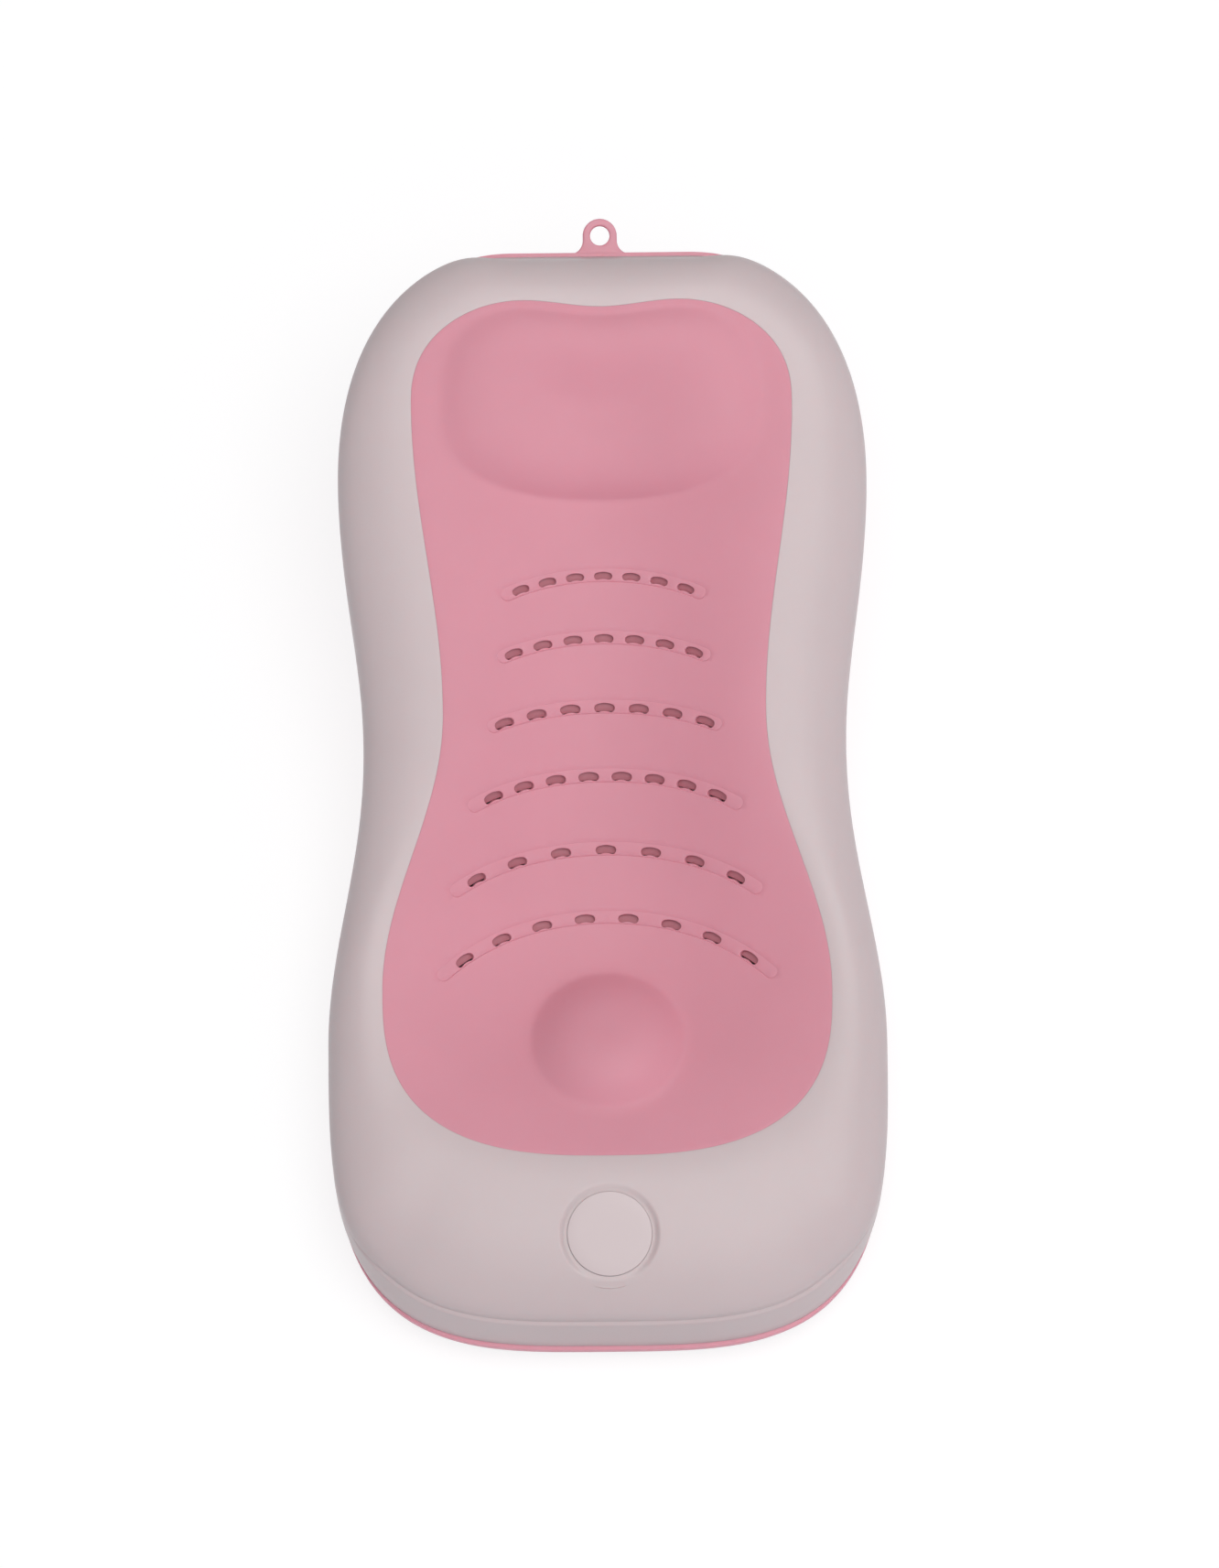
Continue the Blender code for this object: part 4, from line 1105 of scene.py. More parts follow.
    def bores(self) -> bpy.types.Object:
        """Screw bores and the seat of the badge.

        Returns:
            All of them as one helper.
        """
        fixing, badge, wall = self.fixing, self.badge, self.form.shell_wall
        radius, sides = fixing.shank_radius + fixing.clearance, fixing.bore_sides
        shape = Shape()
        for place in fixing.base_places:
            low = fixing.lug_top(place[1]) - wall
            rises = (0.0, wall + fixing.shank_length)
            shape.solid([circle(place, radius, sides, low + rise) for rise in rises])
        for place in fixing.deck_places:
            low = fixing.boss_seat(*place) - wall
            rises = (0.0, fixing.ear_drop - wall)
            shape.solid([circle(place, radius, sides, low + rise) for rise in rises])
        levels = (-badge.dish_depth - badge.thickness / 2, badge.dish_depth)
        seat = turned([(badge.radius + badge.seat_gap, level) for level in levels], badge.sides)
        place = np.array(badge.matrix)
        shape.solid([ring @ place[:3, :3].T + place[:3, 3] for ring in seat])
        return shape.build("rim_bores")


@dataclass(frozen=True)
class Swell:
    """Raised soft form of the pad over a squared ellipse."""

    y: float
    half_width: float
    head_reach: float
    foot_reach: float
    squareness: float
    height: float
    fullness: float
    root: float
    side_softness: float = 0.0
    dip: float = 0.0
    dip_half: float = 1.0

    def share(self, x: np.ndarray, y: np.ndarray) -> np.ndarray:
        """0 in the middle of the form, 1 on its outline."""
        from_middle = y - self.y
        dipped = self.dip * np.exp(-((x / self.dip_half) ** 2)) * smooth(from_middle / self.head_reach)
        reach = np.where(from_middle > 0, self.head_reach, self.foot_reach)
        across = np.abs(x / self.half_width) ** self.squareness
        along = np.abs((from_middle + dipped) / reach) ** self.squareness
        return (across + along) ** (1 / self.squareness)

    def rise(self, x: np.ndarray, y: np.ndarray) -> np.ndarray:
        """Height of the form over the pad, with a soft root that is softer at the sides."""
        root = self.root * (1 + self.side_softness * (x / self.half_width) ** 2)
        over = (1 - self.share(x, y) ** self.fullness) / root
        return self.height * root * np.logaddexp(0, over)

    def contour(self, level: float, count: int) -> Loop:
        """Loop on which the share has one value.

        Args:
            level: The share.
            count: Number of points.

        Returns:
            Plan points.
        """
        angles = np.arange(count) * 2 * math.pi / count
        across, along = np.cos(angles), np.sin(angles)
        low, high = np.zeros(count), np.full(count, 3 * self.half_width)
        for _ in range(HALVINGS):
            middle = (low + high) / 2
            far = self.share(middle * across, self.y + middle * along) > level
            low, high = np.where(far, low, middle), np.where(far, middle, high)
        return np.stack([low * across, self.y + low * along], axis=1)


@dataclass(frozen=True)
class SlotRow:
    """One bowed row of drain slots in its shallow band."""

    share: float
    half_span: float
    bow: float
    count: int
    band_half: float
    slot_size: float = 1.0


@dataclass(frozen=True)
class SlotPlan:
    """Where the drain slots and the swells of the pad lie."""

    form: BodyForm
    slot_length: float = 0.0106
    slot_width: float = 0.0039
    slot_bend: float = 0.009
    slot_spacing: float = 0.001
    slot_end_steps: int = 8
    low_row_gap: float = 0.028
    high_row_gap: float = 0.0358
    dome_station: float = 0.1535
    dome_radius: float = 0.039
    pillow_setback: float = 0.0898
    pillow_half: float = 0.0435
    rows: tuple[SlotRow, ...] = (
        SlotRow(1.0, 0.0422, 0.108, 7, 0.0524, 0.88),
        SlotRow(0.8162, 0.0461, 0.115, 7, 0.0545, 0.94),
        SlotRow(0.6143, 0.0513, 0.131, 7, 0.0599),
        SlotRow(0.416, 0.0572, 0.128, 8, 0.0702),
        SlotRow(0.2031, 0.0663, 0.130, 7, 0.0798),
        SlotRow(0.0, 0.0728, 0.120, 8, 0.0868),
    )

    def row_middle(self, row: SlotRow) -> float:
        """Y of a row on the centre line, between the dome and the pillow."""
        low = self.form.along(self.dome_station) + self.dome_radius + self.low_row_gap
        high = self.form.back_from_head(self.pillow_setback) - self.pillow_half - self.high_row_gap
        return low + row.share * (high - low)

    def slots(self) -> list[tuple[SlotRow, float]]:
        """Row of every slot and its angle on the row's bow, evenly spread."""
        reaches = [(row, math.asin(row.half_span / row.bow)) for row in self.rows]
        return [(row, float(a)) for row, reach in reaches for a in np.linspace(-reach, reach, row.count)]

    def slot_loop(self, row: SlotRow, angle: float, outset: float) -> Loop:
        """Loop of one slot, outset from its edge.

        Args:
            row: The slot's row.
            angle: Its place on the row's bow.
            outset: Distance outside the slot's edge.

        Returns:
            Plan points.
        """
        length, width = self.slot_length * row.slot_size, self.slot_width * row.slot_size
        reach = (length - width) / self.slot_bend / 2
        half = width / 2 + outset
        loop = arc_capsule(self.slot_bend, reach, half, self.slot_spacing, self.slot_end_steps)
        place = (row.bow * math.sin(angle), self.row_middle(row) - row.bow * (1 - math.cos(angle)))
        return turned_by(loop, -angle, place)


@dataclass(frozen=True)
class Edge:
    """Edge of a sheet: its plan loop at a distance into the sheet, and the rounding of its top."""

    loop: Callable[[float], Loop]
    rounding: float


class Sheet:
    """Thin sheet over a plan region, its top edges rounded."""

    def top(self, plan: Loop, depth: float) -> np.ndarray:
        """Points of the top surface, sunk by depth."""
        raise NotImplementedError

    def under(self, plan: Loop) -> np.ndarray:
        """Points of the underside."""
        raise NotImplementedError

    def sheet(self, edges: Sequence[Edge], creases: list[Loop], spacing: float) -> Shape:
        """Fills the region between its edges and closes it with walls.

        Args:
            edges: Outer edge and then the holes.
            creases: Loops that the triangles follow.
            spacing: Spacing of the other points.

        Returns:
            The closed sheet.
        """
        outer, *holes = [edge.loop(edge.rounding) for edge in edges]
        plan, faces, rings = PlanFill(outer, holes, creases, spacing).triangles()
        shape = Shape()
        upper, lower = shape.add(self.top(plan, 0.0)), shape.add(self.under(plan))
        shape.faces.extend(map(tuple, upper[faces].tolist()))
        shape.faces.extend(map(tuple, lower[faces][:, ::-1].tolist()))
        for edge, ring in zip(edges, rings):
            numbers = [upper[ring]]
            for angle in ROUNDING_ANGLES:
                plan = edge.loop(edge.rounding * (1 - math.sin(angle)))
                numbers.append(shape.add(self.top(plan, edge.rounding * (1 - math.cos(angle)))))
            numbers += [shape.add(self.under(edge.loop(0.0))), lower[ring]]
            for near, far in zip(numbers, numbers[1:]):
                shape.bridge(near, far)
        return shape


@dataclass
class SeatPad(Sheet):
    """Soft pad with its pillow, dome and drain slots."""

    form: BodyForm
    plan: SlotPlan
    step: float = 0.00005
    edge_gap: float = 0.00005
    edge_round: float = 0.0001
    slot_round: float = 0.0003
    band_width: float = 0.0064
    band_shift: float = 0.0003
    band_depth: float = 0.0002
    band_spacing: float = 0.0016
    band_end_steps: int = 10
    groove_depth: float = 0.0005
    upper_groove: float = 0.6
    groove_half: float = 0.0004
    pillow_levels: tuple[float, ...] = (0.9, 0.94, 0.97, 0.99, 1.01, 1.035)
    pillow_points: int = 220
    dome_levels: tuple[float, ...] = (0.9, 0.95, 0.98, 1.0, 1.02, 1.05)
    dome_points: int = 150
    spacing: float = 0.0025

    @cached_property
    def pillow(self) -> Swell:
        """Head pillow, its upper edge along the pad's edge."""
        return Swell(
            y=self.form.back_from_head(self.plan.pillow_setback),
            half_width=0.0815,
            head_reach=0.0515,
            foot_reach=0.0425,
            squareness=2.9,
            height=0.012,
            fullness=4.4,
            root=0.025,
            side_softness=3.0,
            dip=self.form.pad.dip,
            dip_half=self.form.pad.dip_half,
        )

    @cached_property
    def dome(self) -> Swell:
        """Round dome between the legs."""
        return Swell(
            y=self.form.along(self.plan.dome_station),
            half_width=self.plan.dome_radius,
            head_reach=0.0375,
            foot_reach=0.0375,
            squareness=2.0,
            height=0.016,
            fullness=2.9,
            root=0.09,
        )

    def band(self, row: SlotRow, half: float) -> tuple[float, float, float]:
        """Bend, half angle and half width of a row's band."""
        return row.bow, math.asin((row.band_half - self.band_width / 2) / row.bow), half

    def groove(self, plan: Loop) -> np.ndarray:
        """Depth of the bands and of the fine groove round each one, deeper on the foot side."""
        depth = np.zeros(len(plan))
        for row in self.plan.rows:
            local = plan - (0.0, self.plan.row_middle(row) + self.band_shift)
            gap = capsule_gap(local, *self.band(row, self.band_width / 2))
            above = np.hypot(local[:, 0], local[:, 1] + row.bow) > row.bow
            deepest = self.groove_depth * np.where(above, self.upper_groove, 1.0)
            outside = np.clip(1 - gap / self.groove_half, 0, 1) * deepest
            share = np.clip(1 + gap / self.groove_half, 0, 1)
            within = self.band_depth + share * (deepest - self.band_depth)
            depth = np.maximum(depth, np.where(gap > 0, outside, within))
        return depth

    def creases(self) -> list[Loop]:
        """Loops along the grooves and round the roots of the swells."""
        loops = []
        for row in self.plan.rows:
            for side in (1, 0, -1):
                half = self.band_width / 2 + side * self.groove_half
                loop = arc_capsule(*self.band(row, half), self.band_spacing, self.band_end_steps)
                loops.append(loop + (0.0, self.plan.row_middle(row) + self.band_shift))
        loops += [self.pillow.contour(level, self.pillow_points) for level in self.pillow_levels]
        loops += [self.dome.contour(level, self.dome_points) for level in self.dome_levels]
        return loops

    def top(self, plan: Loop, depth: float) -> np.ndarray:
        """Points of the pad's top surface, sunk by depth."""
        x, y = plan[:, 0], plan[:, 1]
        rise = self.pillow.rise(x, y) + self.dome.rise(x, y) - self.groove(plan) - self.step
        return self.form.lifted(plan, rise - depth)

    def under(self, plan: Loop) -> np.ndarray:
        """Points of the pad's underside."""
        return self.form.lifted(plan, -self.form.pad_step - self.form.pad_thickness)

    def make(self) -> bpy.types.Object:
        """Builds and dresses the pad.

        Returns:
            The piece.
        """
        rays = self.form.rays
        edge, inward = whole(rays.pad + rays.inward * self.edge_gap), whole(rays.inward)
        edges = [Edge(lambda reach: edge + inward * reach, self.edge_round)]
        slots = [partial(self.plan.slot_loop, row, angle) for row, angle in self.plan.slots()]
        edges += [Edge(slot, self.slot_round) for slot in slots]
        piece = self.sheet(edges, self.creases(), self.spacing).build("soft_pad")
        dress(piece, PAD, "seat_pad")
        return piece


@dataclass
class SeatDeck(Sheet):
    """Rigid carrier under the pad, with a drain window beside each row of slots and an ear on each boss."""

    form: BodyForm
    fixing: Fixing
    plan: SlotPlan
    thickness: float = 0.0024
    lap: float = 0.0062
    window_width: float = 0.002
    window_length: float = 0.0124
    window_shift: float = 0.0034
    window_spacing: float = 0.002
    window_end_steps: int = 10
    rounding: float = 0.0004
    spacing: float = 0.0035

    @property
    def depth(self) -> float:
        """Depth of the deck's top under the seat's surface."""
        return self.form.pad_step + self.form.pad_thickness + self.form.seat_gap

    def top(self, plan: Loop, depth: float) -> np.ndarray:
        """Points of the deck's top surface, sunk by depth."""
        return self.form.lifted(plan, -self.depth - depth, on_rim=True)

    def under(self, plan: Loop) -> np.ndarray:
        """Points of the deck's underside."""
        return self.form.lifted(plan, -self.depth - self.thickness, on_rim=True)

    def window(self, row: SlotRow, reach: float) -> Loop:
        """Loop of a row's window, on the foot side of its slots, at a distance into the deck."""
        length = 2 * row.bow * math.asin(row.half_span / row.bow) + self.window_length
        half_angle = (length - self.window_width) / row.bow / 2
        half = self.window_width / 2 + reach
        loop = arc_capsule(row.bow, half_angle, half, self.window_spacing, self.window_end_steps)
        return loop + (0.0, self.plan.row_middle(row) - self.window_shift)

    def make(self) -> bpy.types.Object:
        """Builds and dresses the deck.

        Returns:
            The piece.
        """
        rays, fixing = self.form.rays, self.fixing
        edge, inward = whole(rays.pad - rays.inward * self.lap), whole(rays.inward)
        edges = [Edge(lambda reach: edge + inward * reach, self.rounding)]
        edges += [Edge(partial(self.window, row), self.rounding) for row in self.plan.rows]
        piece = self.sheet(edges, [], self.spacing).build("pad_carrier")
        ears, bores = Shape(), Shape()
        for place in fixing.deck_places:
            low = fixing.boss_seat(*place)
            ears.solid(fixing.post(place, fixing.ear_radius, low, self.depth + self.thickness / 2))
            radius = fixing.boss_radius + fixing.clearance
            levels = (low - fixing.ear_drop, low + 2 * fixing.ear_drop)
            bores.solid([circle(place, radius, fixing.post_sides, level) for level in levels])
        carve(piece, ears.build("carrier_ears"), Cut.JOIN)
        carve(piece, bores.build("carrier_bores"), Cut.REMOVE)
        dress(piece, DECK, "seat_deck")
        return piece


@dataclass
class BaseCasing:
    """Pink lower casing: flange, tongue, drafted wall and hanging loop."""

    form: BodyForm
    fixing: Fixing
    flange_thickness: float = 0.004
    flange_tuck: float = 0.0012
    flange_setback: float = 0.0022
    tongue_height: float = 0.006
    tongue_thickness: float = 0.0022
    tongue_gap: float = 0.0005
    wall_thickness: float = 0.0026
    draft: float = math.radians(3.5)
    roundings: tuple[float, ...] = (0.001, 0.0005, 0.0002, 0.0004, 0.0004, 0.001, 0.0005, 0.0012, 0.0008)
    lug_edge: float = 0.0004
    lug_points: int = 33
    plinth_edge: float = 0.0006
    loop_radius: float = 0.0088
    loop_hole: float = 0.0050
    loop_fillet: float = 0.0068
    loop_thickness: float = 0.0034
    loop_root: float = 0.0045
    loop_round: float = 0.0009
    loop_round_steps: int = 4
    loop_sharp: float = math.radians(50)
    loop_weld: float = 0.00001
    fillet_points: int = 13
    end_points: int = 41
    hole_points: int = 48
    seam: float = 0.00008

    def section(self) -> list[np.ndarray]:
        """Closed section of the casing, from the flange over the tongue, down inside and up outside.

        Returns:
            Rings of points round the whole casing.
        """
        form, rays = self.form, self.form.rays
        rim, out, ends = rays.rim, rays.normal, rays.end_share
        flange = self.flange_tuck * (1 - ends) - form.flange_reach * ends
        low = -form.joint_gap - self.flange_thickness
        drop = form.parting(rim[:, 1])[:, None] + low - self.fixing.foot_lift
        top_wall = flange + self.flange_setback
        low_wall = top_wall + math.tan(self.draft) * drop
        tongue = form.skirt_tuck * (1 - ends) + form.shell_wall + self.tongue_gap
        tongue_top = tongue + rays.lean * self.tongue_height / form.skirt_height
        rings = [
            form.at_height(rim - out * flange, low),
            form.at_height(rim - out * flange, -self.seam),
            form.at_height(rim - out * tongue, -self.seam),
            form.at_height(rim - out * tongue_top, self.tongue_height),
            form.at_height(rim - out * (tongue_top + self.tongue_thickness), self.tongue_height),
            form.at_height(rim - out * (tongue + self.tongue_thickness), low),
            self.foot_edge(rim - out * (low_wall + self.wall_thickness)),
            self.foot_edge(rim - out * low_wall),
            form.at_height(rim - out * top_wall, low),
        ]
        return round_section([whole(ring) for ring in rings], self.roundings)

    def foot_edge(self, plan: Loop) -> np.ndarray:
        """Level ring of the wall's lower edge."""
        return np.column_stack([plan, np.full(len(plan), self.fixing.foot_lift)])

    def loop_outlines(self) -> tuple[list[tuple[float, float]], list[tuple[float, float]]]:
        """Outline of the hanging loop and of its hole, flat, from its root at the base's end.

        Returns:
            Points of the outline and points of the hole.
        """
        form, radius, fillet = self.form, self.loop_radius, self.loop_fillet
        level_reach = form.loop_reach - self.loop_thickness / 2 * math.sin(form.recline)
        eye, foot = level_reach / math.cos(form.recline) - radius, radius + fillet
        bends = np.linspace(0, math.pi / 2, self.fillet_points)
        right = [(foot, -self.loop_root)]
        right += [(foot - fillet * math.sin(a), fillet * (1 - math.cos(a))) for a in bends]
        turns = np.linspace(0, math.pi, self.end_points)[1:-1]
        end = [(radius * math.cos(a), eye + radius * math.sin(a)) for a in turns]
        turns = -np.linspace(0, 2 * math.pi, self.hole_points + 1)[:-1]
        hole = [(self.loop_hole * math.cos(a), eye + self.loop_hole * math.sin(a)) for a in turns]
        return right + end + [(-x, y) for x, y in right[::-1]], hole

    def loop(self) -> bpy.types.Object:
        """Flat tab with a round end, filleted at its root, with a round hole and rounded edges.

        Returns:
            The tab in place.
        """
        form = self.form
        curve = bpy.data.curves.new("hanging_loop", "CURVE")
        curve.dimensions = "2D"
        curve.fill_mode = "BOTH"
        curve.extrude = self.loop_thickness / 2 - self.loop_round
        curve.bevel_depth = self.loop_round
        curve.bevel_resolution = self.loop_round_steps
        curve.offset = -self.loop_round
        for points in self.loop_outlines():
            spline = curve.splines.new("POLY")
            spline.points.add(len(points) - 1)
            spline.use_cyclic_u = True
            for point, (x, y) in zip(spline.points, points):
                point.co = (x, y, 0.0, 1.0)
        holder = bpy.data.objects.new("hanging_loop_curve", curve)
        mesh = bpy.data.meshes.new_from_object(holder)
        bpy.data.objects.remove(holder)
        bpy.data.curves.remove(curve)
        work = bmesh.new()
        work.from_mesh(mesh)
        bmesh.ops.remove_doubles(work, verts=work.verts, dist=self.loop_weld)
        bmesh.ops.recalc_face_normals(work, faces=work.faces)
        y = form.back_from_head(0.0)
        height = float(form.parting(y)) - form.joint_gap - self.flange_thickness / 2
        work.transform(Matrix.Translation((0.0, y, height)) @ Matrix.Rotation(form.recline, 4, "X"))
        work.to_mesh(mesh)
        work.free()
        return link("hanging_loop", mesh, self.loop_sharp)

    def make(self) -> bpy.types.Object:
        """Builds and dresses the casing.

        Returns:
            The piece.
        """
        shape = Shape()
        shape.tube(self.section(), closed=True)
        piece = shape.build("pink_base")
        carve(piece, self.loop(), Cut.JOIN)
        carve(piece, self.lugs(), Cut.JOIN)
        carve(piece, self.bores(), Cut.REMOVE)
        dress(piece, BASE, "base_casing")
        return piece

    def lugs(self) -> bpy.types.Object:
        """Lugs under the posts and plinths for the feet.

        Returns:
            All of them as one helper.
        """
        form, fixing = self.form, self.fixing
        shape = Shape()
        for share in fixing.base_shares:
            out = form.rim_normal[round(share * (DENSE - 1))]
            across = np.array([-out[1], out[0]])
            middle = form.rim_place(share, fixing.inset(share))
            turns = np.linspace(0, math.pi, self.lug_points)[:, None]
            end = middle + fixing.lug_radius * (np.cos(turns) * across - np.sin(turns) * out)
            reach = fixing.inset(share) - fixing.lug_root
            outline = np.concatenate([end, end[-1:] + reach * out, end[:1] + reach * out])
            high = fixing.lug_top(middle[1])
            for side in (1, -1):
                shape.solid(prism(outline * (side, 1), high - fixing.lug_thickness, high, self.lug_edge))
        low = fixing.foot_lift - fixing.plinth_proud
        radius = fixing.foot_radius + fixing.clearance + fixing.plinth_wall
        for place in fixing.both_sides(fixing.foot_places):
            outline = circle(place, radius, fixing.foot_sides, 0.0)[:, :2]
            shape.solid(prism(outline, low, low + fixing.plinth_height, self.plinth_edge))
        return shape.build("base_lugs")

    def bores(self) -> bpy.types.Object:
        """Screw bores through the lugs and the seats of the feet.

        Returns:
            All of them as one helper.
        """
        fixing = self.fixing
        shape = Shape()
        radius = fixing.shank_radius + fixing.clearance
        for place in fixing.base_places:
            high = fixing.lug_top(place[1]) + fixing.lug_thickness
            levels = (high - 3 * fixing.lug_thickness, high)
            shape.solid([circle(place, radius, fixing.bore_sides, level) for level in levels])
        radius = fixing.foot_radius + fixing.clearance
        low = fixing.foot_lift - fixing.plinth_proud
        levels = (low - fixing.foot_seat, low + fixing.foot_seat)
        for place in fixing.both_sides(fixing.foot_places):
            shape.solid([circle(place, radius, fixing.foot_sides, level) for level in levels])
        return shape.build("base_bores")


@dataclass
class BadgeDisc:
    """Bare disc in the seat of the dish."""

    place: BadgePlace
    edge_round: float = 0.0004
    edge_points: int = 6
    inner_shares: tuple[float, ...] = (0.7, 0.35)

    def make(self) -> bpy.types.Object:
        """Builds and dresses the disc.

        Returns:
            The piece.
        """
        place, edge = self.place, self.edge_round
        low = -place.dish_depth - place.thickness / 2 + place.fit
        high = low + place.thickness
        profile = [(place.radius, low)]
        profile += [
            (place.radius - edge * (1 - math.cos(a)), high - edge * (1 - math.sin(a)))
            for a in np.linspace(0, math.pi / 2, self.edge_points)
        ]
        profile += [(place.radius * share, high) for share in self.inner_shares]
        shape = Shape()
        shape.solid(turned(profile, place.sides))
        piece = shape.build("bare_disc")
        piece.data.transform(place.matrix)
        dress(piece, BADGE, "badge_disc")
        return piece


@dataclass
class ScrewSet:
    """Pan-head screws with a cross recess, up through the base's lugs and the deck's ears."""

    form: BodyForm
    fixing: Fixing
    sides: int = 40
    tip_share: float = 0.2
    edge_share: float = 0.6
    edge_points: int = 7
    recess_reach: float = 0.0019
    recess_half: float = 0.00035
    recess_depth: float = 0.0013
    recess_mouth: float = 1.1
    recess_tip: float = 0.6
    turn: float = 0.7
    sharp: float = math.radians(35)

    def screw(self, name: str, head_radius: float, length: float) -> bpy.types.Object:
        """One screw standing on its head, the seat of the head at height 0.

        Args:
            name: Name of the piece.
            head_radius: Radius of the head.
            length: Length of the shank.

        Returns:
            The piece at the origin.
        """
        shank, head = self.fixing.shank_radius, self.fixing.head_height
        profile = [(shank * self.tip_share, length), (shank, length - shank), (shank, 0.0)]
        profile.append((head_radius, 0.0))
        edge = self.edge_share * head
        for angle in np.linspace(0, math.pi / 2, self.edge_points):
            height = edge - head - edge * math.sin(angle)
            profile.append((head_radius - edge * (1 - math.cos(angle)), height))
        shape = Shape()
        shape.solid(turned(profile, self.sides))
        piece = shape.build(name, self.sharp)
        far, near = self.recess_reach, self.recess_half
        arms = [(far, -near), (far, near), (near, near), (near, far), (-near, far), (-near, near)]
        cross = np.array(arms + [(-x, -y) for x, y in arms])
        recess = Shape()
        mouth, floor = -head - self.recess_depth / 4, self.recess_depth - head
        levels = ((self.recess_mouth, mouth), (self.recess_tip, floor))
        recess.solid([np.column_stack([cross * scale, np.full(len(cross), z)]) for scale, z in levels])
        carve(piece, recess.build("cross_recess"), Cut.REMOVE, self.sharp)
        return piece

    def make(self) -> None:
        """Builds and dresses all the screws."""
        fixing, gap = self.fixing, self.form.joint_gap
        deck_length = fixing.ear_drop - 2 * self.form.shell_wall - gap
        heights = [fixing.lug_top(y) - fixing.lug_thickness - gap for _, y in fixing.base_places]
        self.spread("base", fixing.head_radius, fixing.shank_length, fixing.base_places, heights)
        heights = [fixing.boss_seat(*place) - gap for place in fixing.deck_places]
        self.spread("deck", fixing.deck_head_radius, deck_length, fixing.deck_places, heights)

    def spread(
        self,
        kind: str,
        head_radius: float,
        length: float,
        places: Sequence[tuple[float, float]],
        heights: Sequence[float],
    ) -> None:
        """Puts one kind of screw at its places.

        Args:
            kind: First word of the CAD nodes' names.
            head_radius: Radius of the head.
            length: Length of the shank.
            places: Plan places.
            heights: Height of the head's seat at each place.
        """
        first = self.screw(f"screw_{kind}_1", head_radius, length)
        for number, ((x, y), height) in enumerate(zip(places, heights), 1):
            piece = first if number == 1 else put(f"screw_{kind}_{number}", first.data)
            turned_round = Matrix.Rotation(number * self.turn, 4, "Z")
            piece.matrix_world = Matrix.Translation((x, y, height)) @ turned_round
            dress(piece, STEEL, f"{kind}_screw_{number}")


@dataclass
class FootSet:
    """Rubber feet in the plinths, each with a ring groove underneath."""

    form: BodyForm
    fixing: Fixing
    edge: float = 0.0012
    edge_points: int = 7
    top_edge: float = 0.0003
    groove: float = 0.0004
    groove_profile: tuple[tuple[float, float], ...] = (
        (0.72, 0.0),
        (0.68, 1.0),
        (0.60, 1.0),
        (0.56, 0.0),
        (0.2, 0.0),
    )

    def make(self) -> None:
        """Builds and dresses the feet."""
        fixing, radius = self.fixing, self.fixing.foot_radius
        top = fixing.foot_lift - fixing.plinth_proud + fixing.foot_seat - self.form.joint_gap
        profile = [(radius - self.top_edge, top), (radius, top - self.top_edge)]
        for angle in np.linspace(0, math.pi / 2, self.edge_points):
            profile.append((radius - self.edge * (1 - math.cos(angle)), self.edge * (1 - math.sin(angle))))
        profile += [(radius * share, self.groove * depth) for share, depth in self.groove_profile]
        shape = Shape()
        shape.solid(turned(profile, fixing.foot_sides))
        first = shape.build("rubber_foot_1")
        for number, (x, y) in enumerate(fixing.both_sides(fixing.foot_places), 1):
            piece = first if number == 1 else put(f"rubber_foot_{number}", first.data)
            piece.location = (x, y, 0.0)
            dress(piece, RUBBER, f"foot_pad_{number}")


